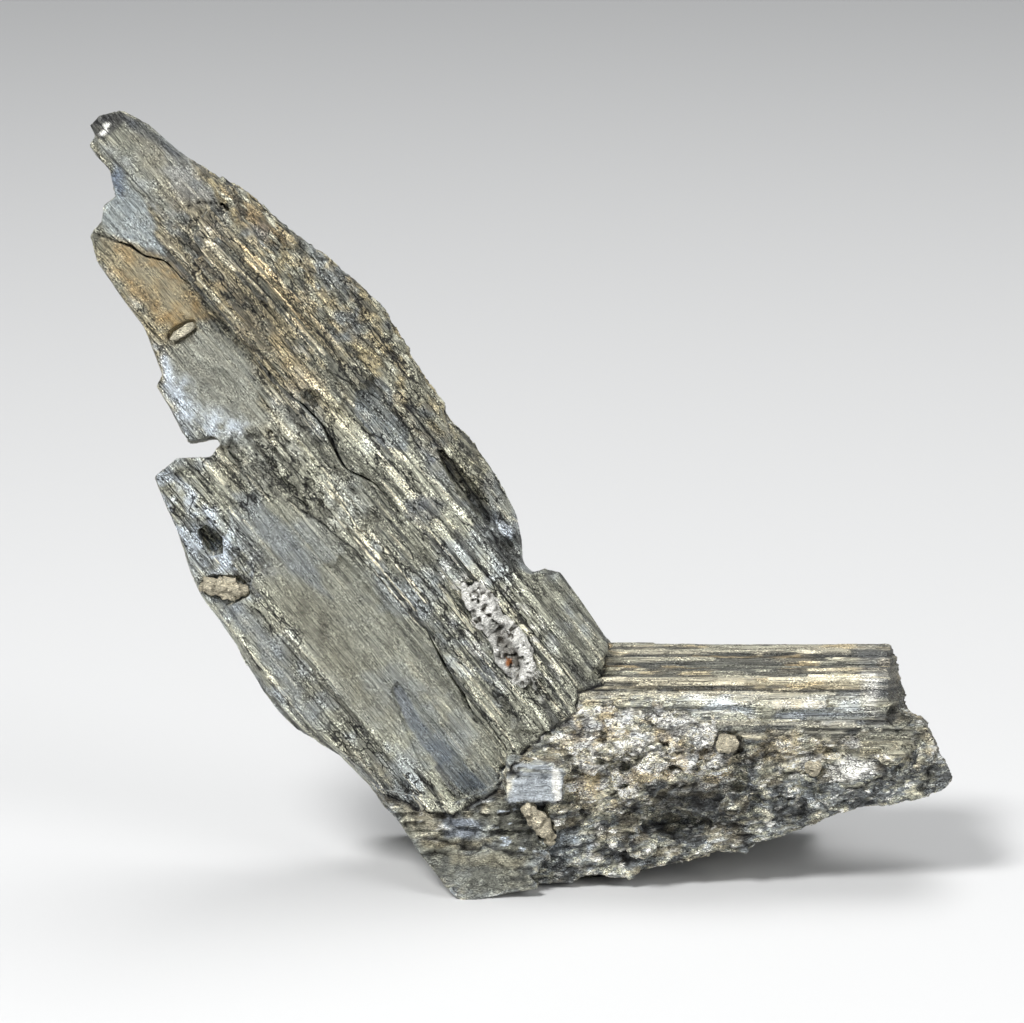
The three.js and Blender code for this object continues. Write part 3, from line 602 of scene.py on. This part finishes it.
def ore_relief(place):
    """Level shreds of ore, creased and pitted, with small round grains in its pale patch."""
    points = place.points
    lying = points @ ORE_GRAIN
    large, *_ = facets(lying, ORE_SHRED, 0.22, 0.18, 53)
    small, *_ = facets(lying, ORE_FLAKE, 0.3, 0.08, 55)
    lift = 0.25 * fractal(points / 3.2, 51) + large + small - 0.3 * creases(lying / ORE_CREASE, 57)
    grain, _, owner = cells(points / PALE_GRAIN, 58)
    grains = 0.22 * (0.6 - np.linalg.norm(grain, axis=1)) * ramp(owner, 0.1, 0.3)
    return lift * (1 - 0.4 * place.pale) + grains * place.pale + 0.08 * fractal(points / 0.3, 54)


def level_laths(place, slant, widths, seed):
    """Ridges lying level in the prism, or slanting down to the right in the toe: their height and numbers."""
    x = place.points[:, 0] + 0.6 * fractal(place.points / 0.7, 63)
    band = place.band + slant * x
    lift = 0.05 * fractal(place.points / 0.5, 67)
    owners = []
    for index, (width, length, height) in enumerate(widths):
        owner, inner, side, end = laths(band, x, width, length, seed + 4 * index)
        lift += height * (owner - 0.5 + 0.8 * lean(owner) * inner)
        owners.append(owner)
    return lift, owners


def wavering_band(place):
    """The height across the prism's faces, wavering a little along it."""
    return place.band + 0.15 * fractal(place.points / (9, 2, 2), 87)


def prism_relief(place):
    band = wavering_band(place)
    groove = np.zeros(len(band))
    for height, width, depth in PRISM_GROOVES:
        groove += depth * fade(band - height, width)
    rough = 0.2 * fractal(place.points / 1.5, 68) * ramp(place.points[:, 0], 35, 39)
    return level_laths(place, 0, PRISM_RIDGES, 61)[0] - 0.8 * groove + rough


def toe_seam(place):
    """How far each point is from the seam across the toe."""
    return line_distance(place.points[:, 0], place.band + 0.3 * place.ragged, TOE_SEAM)


def toe_relief(place):
    """Level ridges and broken faces, smoother on the slab, on the left face and on the bright block."""
    ridges, _ = level_laths(place, TOE_SLANT, TOE_RIDGES, 91)
    broken, *_ = facets(place.points @ ORE_GRAIN, 1.2, 0.3, 0.2, 94)
    smooth = np.maximum.reduce([place.spot(TOE_FACE), place.spot(TOE_SLAB), place.spot(BLOCK)])
    lift = (0.4 * ridges + broken - 0.25 * creases(place.points / TOE_CREASE, 92)) * (1 - 0.6 * smooth)
    lift -= 0.3 * fade(toe_seam(place), 0.2) * place.front
    return lift + 0.12 * fractal(place.points / 0.5, 95)


def crack_depth(place):
    depth = np.zeros(len(place.points))
    for width, deep, line in CRACKS:
        distance = line_distance(place.along + 0.25 * place.ragged, place.across + 0.2 * place.ragged, line)
        depth = np.maximum(depth, deep * fade(distance, width))
    return depth * place.front


def crack_walls(place):
    """Swells the walls of the solid's cracks so that they are narrower."""
    lines = [line for width, deep, line in CRACKS[:SOLID_CRACKS]]
    gap = np.minimum.reduce([line_distance(place.along, place.across, line) for line in lines])
    return 0.17 * fade(gap, 0.6) * (1 - ramp(np.abs(place.normals[:, 1]), 0.3, 0.8))


def relief(place):
    lift = where(place, place.blade, blade_relief) + where(place, place.rim, rim_relief)
    ore = where(place, place.ore - place.toe, ore_relief) + where(place, place.toe, toe_relief)
    left_side = ramp(-place.normals[:, 0], 0.2, 0.6) * ramp(-place.points[:, 0], 0, 4)
    lift += ore * (1 - 0.8 * left_side) + where(place, place.prism, prism_relief)
    notch = np.linalg.norm((place.points - END_NOTCH) / END_NOTCH_REACH, axis=1)
    lift -= END_NOTCH_DEPTH * ramp(1 - notch, 0, 0.8)
    return (lift - crack_depth(place) + crack_walls(place)) * ramp(place.points[:, 2], 0.2, 1.6)


# Colours of the surface

def blend(tint, colour, weight):
    return tint + (np.array(colour) - tint) * np.clip(weight, 0, 1)[:, None]


def shades(value, scale):
    """The colours at some values on a scale of values and colours."""
    steps = [step for step, colour in scale]
    return np.stack([np.interp(value, steps, [colour[i] for step, colour in scale]) for i in range(3)], 1)


def stained(tint, stains, cover, mottle):
    """A surface's colour with stains on it, among them some painted shade and painted highlights. The cover
    tells how much of each point is inside an outline.
    """
    for outline, colour, strength, mottled, soft in stains:
        tint = blend(tint, colour, (strength + mottled * mottle) * cover(outline, soft))
    return tint


def blade_tint(place):
    points = place.points
    broad, medium, thin = place.plates()
    cloud = fractal(points / 7, 71)
    mottle = fractal(points / 1.1, 73)
    lively = 1 - 0.8 * place.calm()
    tint = np.tile(OLIVE, (len(points), 1))
    tint = blend(tint, STEEL, 0.8 * ramp(fractal(points / 5, 74) + 0.3 * mottle, -0.1, 0.4))
    upper = ramp(-place.along + 6 * cloud, 0, 14) * ramp(place.along, -36, -32)
    upper *= ramp(place.across, -8, -5) * place.front
    tint = blend(tint, TAN, 0.6 * upper * ramp(medium[0] + 0.5 * mottle, 0, 0.6)) * (1 - 0.2 * upper)[:, None]
    shift = 0.3 * (broad[0] - 0.5) + 0.6 * (medium[0] - 0.5) + 0.7 * (thin[0] - 0.5)
    tint *= (1 + lively * shift + 0.25 * mottle)[:, None]
    tint = blend(tint, OLIVE_DARK, lively * 0.85 * ramp(0.17 - thin[0], 0, 0.04))
    lines = np.maximum(place.patch(GOLD_LINES, 1), place.patch(BRIGHT_LINES, 1))
    # Cream on the highest thin laths: partly the blade's own cream lines, partly painted highlights on the
    # ridges, gold in the gold lines
    bright = lively * (0.45 + 0.5 * lines) * ramp(thin[0] + 0.1 * cloud + 0.12 * lines, 0.87, 0.92)
    tint = blend(tint, CREAM, bright * ramp(thin[2], 0.02, 0.1))
    tint = blend(tint, GOLD, 0.6 * bright * place.patch(GOLD_LINES, 1))
    tint = blend(tint, FROST, 0.15 * lively * ramp(fractal(points / 2.5, 75) + 0.4 * mottle, 0.3, 0.6))
    tint *= (1 + 0.3 * ramp(place.along, -14, -7) * (1 - place.patch(BOSS, 1)))[:, None]
    tint = stained(tint, BLADE_STAINS_AND_REFLECTION, place.patch, mottle)
    *_, speck = cells(points / 0.6, 79)
    near_crust = inside(place.along, place.across, CRUST_SURROUND, 1.5) * place.front
    tint = blend(tint, WHITE, 0.8 * near_crust * ramp(speck + 0.2 * mottle, 0.8, 0.86))
    # Painted shadow: black along the grooved edges of the raised laths, as the shadow in the grooves
    for owner, inner, side, end in (broad, medium):
        tint = blend(tint, BLACK, 0.7 * lively * ramp(0.1 - side, 0, 0.07) * (owner > 0.6))
    return tint


def rim_tint(place):
    points = place.points
    _, border, owner = splinters(place, *RIM_SLIVER)
    mottle = fractal(points / 1.1, 77)
    tint = np.tile((0.23, 0.225, 0.17), (len(points), 1))
    tint = blend(tint, STEEL, 0.8 * ramp(fractal(points / 3, 78), 0, 0.3))
    tint = blend(tint, TAN, 0.7 * ramp(mottle, -0.3, 0.3) * ramp(points[:, 2], 35, 55))
    tint = blend(tint, (0.16, 0.11, 0.06), 0.7 * place.patch(RIM_BROWN, 1))
    tint *= (1 + 0.5 * (owner - 0.5) + 0.3 * mottle)[:, None]
    tint = blend(tint, OLIVE_DARK, 0.7 * ramp(0.2 - owner + 0.1 * mottle, 0, 0.1))
    tint = blend(tint, OLIVE_LIGHT, 0.8 * ramp(owner + 0.1 * mottle, 0.82, 0.86))
    return blend(tint, BLACK, 0.6 * ramp(0.07 - border, 0, 0.07) * (owner > 0.5))


def ore_tint(place):
    points = place.points
    lying = points @ ORE_GRAIN
    mottle = fractal(points / 0.9, 81)
    *_, large = cells(lying / ORE_SHRED, 53)
    *_, small = cells(lying / ORE_FLAKE, 55)
    _, gap, whole = cells(points / PALE_GRAIN, 58)
    upper = ramp(place.band + 2 * mottle, 9, 14)
    value = 0.18 + 0.35 * small + 0.32 * large + 0.4 * mottle + 0.1 * upper
    tint = shades(value + place.pale * (0.28 + 0.3 * whole), ORE_SHADES)
    tint = blend(tint, EARTH, 0.6 * ramp(fractal(lying / 1.5, 89), 0.1, 0.4) * (1 - place.pale))
    tint = blend(tint, STRAW, 0.5 * upper * ramp(fractal(lying / 2, 80), 0, 0.4))
    rusty = np.maximum(place.pale, 0.3 * upper) * ramp(fractal(points / 1.8, 98), 0, 0.3)
    tint = blend(tint, GOLD, 0.5 * rusty)
    tint = blend(tint, FROST, 0.6 * creases(lying / 1.4, 86) * ramp(mottle, -0.1, 0.3))
    # Painted highlights: white glints on the brightest flakes of the ore
    tint = blend(tint, WHITE, 0.8 * ramp(small, 0.94, 0.96))
    tint = blend(tint, BLACK, 0.8 * place.pale * ramp(0.14 - gap, 0, 0.1) * (whole > 0.4))
    tint = stained(tint, ORE_STAINS_AND_SHADE, place.spot, mottle)
    return blend(tint, BLACK, 0.7 * creases(lying / ORE_CREASE, 57))


def toe_tint(place):
    points = place.points
    _, (_, thin) = level_laths(place, TOE_SLANT, TOE_RIDGES, 91)
    mottle = fractal(points / 0.8, 83)
    *_, owner = cells(points @ ORE_GRAIN / 0.4, 96)
    tint = np.tile(OLIVE, (len(points), 1)) * 1.15
    tint = blend(tint, 1.2 * np.array(STEEL), 0.7 * ramp(fractal(points / 2.5, 97), -0.1, 0.3))
    tint = blend(tint, OLIVE_DARK, 0.6 * ramp(0.25 - thin + 0.5 * mottle, 0, 0.3))
    tint = blend(tint, OLIVE_LIGHT, 0.7 * ramp(owner + 0.4 * mottle, 0.65, 0.85))
    dark = place.spot(TOE_DARK, 0.8)
    tint = blend(tint, OLIVE_DARK, 0.6 * dark * ramp(0.7 - owner + 0.3 * mottle, 0, 0.3))
    # Painted highlights: pale glints on a few grains in the toe's dark part
    tint = blend(tint, FROST, dark * ramp(owner, 0.88, 0.92))
    tint = stained(tint, TOE_STAINS, place.spot, mottle)
    tint = blend(tint, WHITE, 0.8 * place.spot(TOE_GRAINS, 1) * ramp(owner, 0.86, 0.9))
    tint = blend(tint, BLACK, 0.7 * ramp(0.25 - toe_seam(place), 0, 0.2) * place.front)
    tint = blend(tint, BLACK, 0.5 * creases(points / TOE_CREASE, 92))
    lined = ramp(0.5 - thin, 0, 0.2) * ramp(place.band, 9.5, 10.3)
    tint = blend(tint, (0.36, 0.39, 0.42), 0.85 * place.spot(BLOCK) * (1 - 0.7 * lined))
    return stained(tint, BLOCK_STAINS, place.spot, mottle)


def prism_tint(place):
    _, (wide, thin) = level_laths(place, 0, PRISM_RIDGES, 61)
    mottle = fractal(place.points / (2.4, 0.8, 0.8), 85)
    _, gap, whole = cells(place.points / PALE_GRAIN, 58)
    tint = shades(wavering_band(place) + 0.08 * mottle, PRISM_BANDS)
    tint = blend(tint, OLIVE, 0.5 * ramp(fractal(place.points / (7, 1.5, 1.5), 88) + 0.3 * mottle, -0.1, 0.3))
    tint = blend(tint, GOLD, 0.35 * ramp(fractal(place.points / (5, 1.2, 1.2), 99) + 0.3 * mottle, 0.1, 0.4))
    tint = blend(tint, CREAM, 0.5 * ramp(thin + 0.3 * mottle, 0.7, 0.85))
    tint = blend(tint, OLIVE_DARK, 0.85 * ramp(0.25 - thin + 0.4 * mottle, 0, 0.1))
    tint = blend(tint, SLATE, 0.5 * ramp(0.2 - wide + 0.1 * mottle, 0, 0.1))
    rough = place.spot(PRISM_GRAINS, 1)
    tint = blend(tint, shades(0.5 + 0.5 * (whole - 0.5) + 0.4 * mottle, ORE_SHADES), 0.7 * rough)
    tint = blend(tint, BLACK, 0.7 * rough * ramp(0.1 - gap, 0, 0.1) * (whole > 0.4))
    bright = 1.1 + 0.2 * ramp(place.band, 20, 21)
    return stained(tint, PRISM_STAINS_AND_GLINT, place.spot, mottle) * bright[:, None]


def surface_tint(place, lift):
    """The colour of each point, with painted shade and painted light in it, and how cracked it is."""
    tint = where(place, place.blade, blade_tint) + where(place, place.rim, rim_tint)
    tint += where(place, place.ore - place.toe, ore_tint) + where(place, place.toe, toe_tint)
    tint += where(place, place.prism, prism_tint)
    # Painted shade and light: darker where the relief sinks and lighter where it rises
    hollow_shade_ridge_light = np.clip(1 + 1.2 * lift, 0.4, 1.4)
    tint *= hollow_shade_ridge_light[:, None]
    # Painted shade: the prism's end, facing right, is darkened as the side away from the light
    end = ramp(place.normals[:, 0], 0.5, 0.9) * ramp(place.points[:, 0], 37, 38)
    tint = blend(tint, OLIVE_DARK, 0.7 * end)
    # Painted shade: the cracks, cut into the relief, are painted black as the shade in their depth
    tint = blend(tint, BLACK, 0.95 * ramp(crack_depth(place), 0.1, 0.3))
    base = 0.4 * place.prism + 0.35 * place.ore + 0.35 * place.toe
    smooth = np.maximum.reduce([place.calm(), base, place.spot(BLOCK)])
    return BRIGHTER * tint, 1 - smooth


# Meshes

def new_object(name, data):
    """An object in the scene."""
    made = bpy.data.objects.new(name, data)
    bpy.context.scene.collection.objects.link(made)
    return made


def remeshed(source, voxel, turn=0.0, stretch=1.0):
    """The points and quads of an even mesh over an object, its cells longer along the turned axis."""
    mesh = source.data.copy()
    points = points_of(mesh)
    ahead = np.array([math.cos(turn), 0, -math.sin(turn)])
    move_points(mesh, points - (points @ ahead)[:, None] * ahead * (1 - 1 / stretch))
    turned = points_of(mesh) @ turning(turn)
    move_points(mesh, turned)
    copy = new_object("even", mesh)
    remesh = copy.modifiers.new("even", "REMESH")
    remesh.mode = "VOXEL"
    remesh.voxel_size = voxel * MM
    even = bpy.data.meshes.new_from_object(copy.evaluated_get(bpy.context.evaluated_depsgraph_get()))
    bpy.data.objects.remove(copy)
    points = points_of(even) @ turning(turn).T
    points += (points @ ahead)[:, None] * ahead * (stretch - 1)
    quads = np.zeros(4 * len(even.polygons), np.int32)
    even.polygons.foreach_get("vertices", quads)
    bpy.data.meshes.remove(even)
    return points, quads.reshape(-1, 4)


def turning(angle):
    """Turns points about the y axis so that a line dipping by the angle lies level."""
    cosine, sine = math.cos(angle), math.sin(angle)
    return np.array([[cosine, 0, sine], [0, 1, 0], [-sine, 0, cosine]])


def points_of(mesh):
    flat = np.zeros(3 * len(mesh.vertices), np.float32)
    mesh.vertices.foreach_get("co", flat)
    return flat.reshape(-1, 3).astype(float) / MM - SHIFT


def move_points(mesh, points):
    mesh.vertices.foreach_set("co", ((points + SHIFT) * MM).astype(np.float32).ravel())
    mesh.update()


def point_normals(points, quads):
    """The mean direction of the faces around each point."""
    a, b, c, d = (points[quads[:, i]] for i in range(4))
    face = np.cross(c - a, d - b)
    normals = np.zeros_like(points)
    for corner in range(4):
        for axis in range(3):
            normals[:, axis] += np.bincount(quads[:, corner], face[:, axis], len(points))
    return normals / np.maximum(np.linalg.norm(normals, axis=1), 1e-12)[:, None]


def mesh_piece(name, points, quads, normals, tint, cracked):
    """A piece from part of a bigger mesh, with the bigger mesh's normals so that no border shows."""
    used, faces = np.unique(quads, return_inverse=True)
    mesh = bpy.data.meshes.new(name)
    mesh.vertices.add(len(used))
    mesh.loops.add(len(faces.ravel()))
    mesh.polygons.add(len(quads))
    mesh.loops.foreach_set("vertex_index", faces.ravel().astype(np.int32))
    mesh.polygons.foreach_set("loop_start", np.arange(0, 4 * len(quads), 4, dtype=np.int32))
    move_points(mesh, points[used])
    mesh.validate()
    mesh.polygons.foreach_set("use_smooth", np.ones(len(quads), bool))
    mesh.normals_split_custom_set_from_vertices(normals[used])
    colour = mesh.attributes.new("tint", "FLOAT_COLOR", "POINT")
    colour.data.foreach_set("color", np.column_stack([tint[used], cracked[used]]).astype(np.float32).ravel())
    return new_object(name, mesh)


def place_piece(piece, node, material):
    piece.data.materials.append(material)
    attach(piece, "root")
    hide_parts(node)


# Materials

class Shading:
    """The nodes of one material."""

    def __init__(self, name):
        self.material = bpy.data.materials.new(name)
        self.material.use_nodes = True
        self.tree = self.material.node_tree
        self.shader = self.tree.nodes["Principled BSDF"]
        self.coordinates = self.tree.nodes.new("ShaderNodeTexCoord").outputs["Object"]

    def node(self, kind, links, **settings):
        """A node with its inputs joined or set, by name."""
        made = self.tree.nodes.new("ShaderNode" + kind)
        for name, value in settings.items():
            setattr(made, name, value)
        for name, value in links.items():
            if isinstance(value, bpy.types.NodeSocket):
                self.tree.links.new(value, made.inputs[name])
            else:
                made.inputs[name].default_value = value
        return made

    def lying(self, turn, cell):
        """Coordinates turned along the striations, in cells of a size in millimetres."""
        turned = self.node("Mapping", {"Vector": self.coordinates, "Rotation": (0, -turn, 0)}).outputs[0]
        scale = tuple(1 / (size * MM) for size in cell)
        return self.node("Mapping", {"Vector": turned, "Scale": scale}).outputs[0]

    def noise(self, vector, detail=2.0):
        return self.node("TexNoise", {"Vector": vector, "Scale": 1.0, "Detail": detail}).outputs["Fac"]

    def levels(self, value, low, high, start, end):
        links = {"Value": value, "From Min": low, "From Max": high, "To Min": start, "To Max": end}
        return self.node("MapRange", links).outputs["Result"]

    def hairlines(self, vector, sway, strength, widest):
        """Cracks between cells, 0 in a crack and 1 beside it, of a width that changes from place to place."""
        swayed = self.node("VectorMath", {0: sway, "Scale": strength}, operation="SCALE").outputs[0]
        cell = self.node("VectorMath", {0: vector, 1: swayed}, operation="ADD").outputs[0]
        links = {"Vector": cell, "Scale": 1.0}
        edge = self.node("TexVoronoi", links, feature="DISTANCE_TO_EDGE").outputs["Distance"]
        place = self.node("VectorMath", {0: vector, "Scale": 0.6}, operation="SCALE").outputs[0]
        reach = self.levels(self.noise(place, 1.0), 0.42, 0.68, 0.003, widest)
        gap = self.node("Math", {0: edge, 1: reach}, operation="DIVIDE").outputs[0]
        return self.levels(gap, 0.3, 1.0, 0.0, 1.0)

    def product(self, first, second):
        return self.node("Math", {0: first, 1: second}, operation="MULTIPLY").outputs[0]

    def total(self, first, second):
        return self.node("Math", {0: first, 1: second}, operation="ADD").outputs[0]


def mineral(name, turn, sliver, roughness, metallic):
    """A stone coloured by its mesh, with fine streaks, dark hairline cracks, pits and glints painted into its
    colour.
    """
    made = Shading(name)
    length, width = sliver
    streak = made.noise(made.lying(turn, (length * 0.5, width * 0.14, width * 0.14)), 3.0)
    speck = made.noise(made.lying(turn, SPECK_CELL), 1.0)
    sway = made.node("TexNoise", {"Vector": made.lying(turn, SWAY_CELL), "Scale": 1.0}).outputs["Color"]
    large = made.hairlines(made.lying(turn, (length * 1.6, width * 1.7, width * 1.7)), sway, 0.6, 0.05)
    small = made.hairlines(made.lying(turn, (length * 0.8, width * 0.5, width * 0.5)), sway, 0.4, 0.07)
    tint = made.tree.nodes.new("ShaderNodeAttribute")
    tint.attribute_name = "tint"
    closed = made.levels(tint.outputs["Alpha"], 0.0, 1.0, 0.9, 0.05)
    crack = made.node("Math", {0: made.product(large, small), 1: closed}, operation="MAXIMUM").outputs[0]
    lively = made.levels(tint.outputs["Alpha"], 0.0, 1.0, 0.7, 1.0)
    speckled = made.levels(tint.outputs["Alpha"], 0.0, 1.0, 0.3, 1.0)
    patches = made.noise(made.lying(turn, PATCH_CELL), 2.0)
    rough = made.product(speckled, made.levels(patches, 0.38, 0.6, 0.2, 1.7))
    streaks = made.product(lively, made.levels(streak, 0.3, 0.7, 0.35, 1.8))
    pits = made.product(rough, made.levels(speck, 0.32, 0.44, -0.8, 0.0))
    # Painted highlights: the brightest specks are lifted into glints in the base colour
    glints = made.product(rough, made.levels(speck, 0.57, 0.64, 0.0, 1.6))
    even = made.levels(lively, 0.0, 1.0, 1.05, 0.0)
    shade = made.total(made.total(streaks, even), made.total(pits, glints))
    shade = made.product(made.node("Math", {0: shade, 1: DARKEST}, operation="MAXIMUM").outputs[0], crack)
    shaded = made.node("VectorMath", {0: tint.outputs["Color"], "Scale": shade}, operation="SCALE").outputs[0]
    made.tree.links.new(shaded, made.shader.inputs["Base Color"])
    rougher, smoother = roughness + ROUGHNESS_SPREAD, roughness - ROUGHNESS_SPREAD
    made.tree.links.new(made.levels(streak, 0.3, 0.7, rougher, smoother), made.shader.inputs["Roughness"])
    made.shader.inputs["Metallic"].default_value = metallic
    height = made.product(made.total(streak, speck), crack)
    bump = made.node("Bump", {"Height": height, "Strength": 1.0, "Distance": BUMP_HEIGHT}).outputs["Normal"]
    made.tree.links.new(bump, made.shader.inputs["Normal"])
    return made.material


# Pieces

def surface(voxel, stretch, turn, picked):
    """A fine mesh over a part of the cluster, with its relief and its colours."""
    points, quads = remeshed(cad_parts["crystal_cluster"], voxel, turn, stretch)
    used, quads = np.unique(quads[picked(points[quads].mean(1))], return_inverse=True)
    points, quads = points[used], quads.reshape(-1, 4)
    normals = point_normals(points, quads)
    place = Place(points, normals)
    lift = relief(place)
    tint, cracked = surface_tint(place, lift)
    points = points + normals * lift[:, None]
    points[:, 2] = np.maximum(points[:, 2], 0)
    return points, quads, point_normals(points, quads), tint, cracked


def pieces(made, parts):
    """The parts of a mesh as pieces, each with its material."""
    points, quads, normals, tint, cracked = made
    for name, chosen, material in parts:
        piece = mesh_piece(name, points, quads[chosen], normals, tint, cracked)
        place_piece(piece, "crystal_cluster", material)


def blade():
    made = surface(*BLADE_CELL, BLADE_DIP, lambda middles: past_suture(middles) < OVERLAP)
    back = made[0][made[1]].mean(1)[:, 1] > BACK_FROM
    stone = mineral("bismuthinite_blade", BLADE_DIP, sliver=(4.5, 0.8), roughness=0.5, metallic=0.2)
    pieces(made, [("blade_front", ~back, stone), ("blade_back", back, stone)])


def base():
    """The prism, the toe and the ore."""
    made = surface(*BASE_CELL, 0.0, lambda middles: past_suture(middles) > -OVERLAP)
    middles = made[0][made[1]].mean(1)
    back = middles[:, 1] > BACK_FROM
    place = Place(middles, np.tile((0.0, -1.0, 0.0), (len(middles), 1)))
    level = place.prism + place.spot(BLOCK) > 0.5
    level_stone = mineral("bismuthinite_prism", 0.0, sliver=(6, 0.7), roughness=0.5, metallic=0.2)
    grainy_stone = mineral("bismuthinite_ore", 0.0, sliver=(0.9, 0.6), roughness=0.5, metallic=0.2)
    pieces(made, [
        ("prism_and_block", level, level_stone),
        ("ore_front", ~level & ~back, grainy_stone),
        ("ore_back", ~level & back, grainy_stone),
    ])


def chip(node, colour, broken, worn, material, seed):
    """A chip: a fine mesh over its solid, broken into faces and worn thinner."""
    points, quads = remeshed(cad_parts[node], CHIP_CELL)
    normals = point_normals(points, quads)
    faces, *_ = facets(points, 1.1, broken, 0.08, seed)
    lift = faces + 0.3 * broken * fractal(points / 0.5, seed + 3) - worn
    tint = np.tile(colour, (len(points), 1)) * (0.85 + 0.35 * fractal(points / 0.5, seed + 5))[:, None]
    # Painted shade and light: each chip is darker where its surface sinks and lighter where it rises
    tint *= np.clip(1 + 0.6 * lift, 0.6, 1.3)[:, None]
    loose_piece(node + "_stone", node, points + normals * lift[:, None], quads, tint, material)


def crust():
    """The white crust: a porous mesh with a brown hollow along its middle and a rusty spot in it."""
    points, quads = remeshed(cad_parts["white_crust"], CRUST_CELL)
    normals = point_normals(points, quads)
    pore = ramp(fractal(points / 0.55, 202), 0.14, 0.3)
    gap = ramp(fractal(points / 1.5, 201), 0.2, 0.5)
    along, across = blade_axes(points)
    wavering = along + 0.4 * fractal(points / 0.8, 203)
    heart = inside(wavering, across, CRUST_HEART, 0.4) * ramp(-normals[:, 1], 0.2, 0.6)
    lift = 0.3 * fractal(points / 0.7, 205) - 0.5 * pore - 0.7 * heart - 1.4 * gap + 0.3
    tint = np.tile(WHITE, (len(points), 1)) * (1.05 + 0.4 * fractal(points / 0.5, 207))[:, None]
    tint = blend(tint, (0.07, 0.06, 0.04), 0.9 * np.maximum(pore, 0.8 * heart))
    rust = ramp(0.5 - np.hypot(along - RUST_SPOT[0], across - RUST_SPOT[1]), 0, 0.3)
    tint = blend(tint, ORANGE, rust)
    chalk = mineral("white_crust", 0.0, sliver=(0.6, 0.5), roughness=0.8, metallic=0.0)
    moved = points + normals * lift[:, None]
    loose_piece("white_crust_pores", "white_crust", moved, quads, tint, chalk)


def loose_piece(name, node, points, quads, tint, material):
    """A piece of another mineral, with few cracks."""
    cracked = np.full(len(points), FEW_CRACKS)
    piece = mesh_piece(name, points, quads, point_normals(points, quads), tint, cracked)
    place_piece(piece, node, material)


def chips():
    buff = mineral("buff_stone", 0.0, sliver=(1.2, 0.5), roughness=0.75, metallic=0.0)
    for index, (node, colour, broken, worn) in enumerate(CHIPS):
        chip(node, colour, broken, worn, buff, 211 + 10 * index)


# Studio

def area_light(name, place, size, power):
    data = bpy.data.lights.new(name, "AREA")
    data.shape = "RECTANGLE"
    data.size, data.size_y = size
    data.energy = power
    light = new_object(name, data)
    light.location = place
    light.rotation_euler = (Vector(LIGHT_TARGET) - Vector(place)).to_track_quat("-Z", "Y").to_euler()


def studio():
    bpy.ops.mesh.primitive_plane_add(size=FLOOR_SIZE, location=(0, 0, 0))
    floor = bpy.context.object
    floor.name = "floor"
    paint = bpy.data.materials.new("pale_floor")
    paint.use_nodes = True
    shader = paint.node_tree.nodes["Principled BSDF"]
    shader.inputs["Base Color"].default_value = FLOOR_COLOUR
    shader.inputs["Roughness"].default_value = FLOOR_ROUGHNESS
    floor.data.materials.append(paint)
    for light in LIGHTS:
        area_light(*light)
    world = bpy.context.scene.world or bpy.data.worlds.new("studio")
    bpy.context.scene.world = world
    world.use_nodes = True
    sky = world.node_tree.nodes["Background"]
    sky.inputs["Color"].default_value = SKY_COLOUR
    sky.inputs["Strength"].default_value = SKY_STRENGTH
    bpy.context.scene.view_settings.view_transform = "Standard"


def camera():
    data = bpy.data.cameras.new("camera")
    data.lens = CAMERA_LENS
    data.sensor_width = CAMERA_SENSOR
    look = Vector((0, math.cos(CAMERA_TILT), -math.sin(CAMERA_TILT)))
    distance = FRAME_WIDTH * CAMERA_LENS / CAMERA_SENSOR
    eye = new_object("camera", data)
    eye.location = (Vector(CAMERA_TARGET + SHIFT) - look * distance) * MM
    eye.rotation_euler = look.to_track_quat("-Z", "Y").to_euler()
    data.clip_start, data.clip_end = 0.01, 20
    bpy.context.scene.camera = eye


blade()
base()
crust()
chips()
studio()
camera()
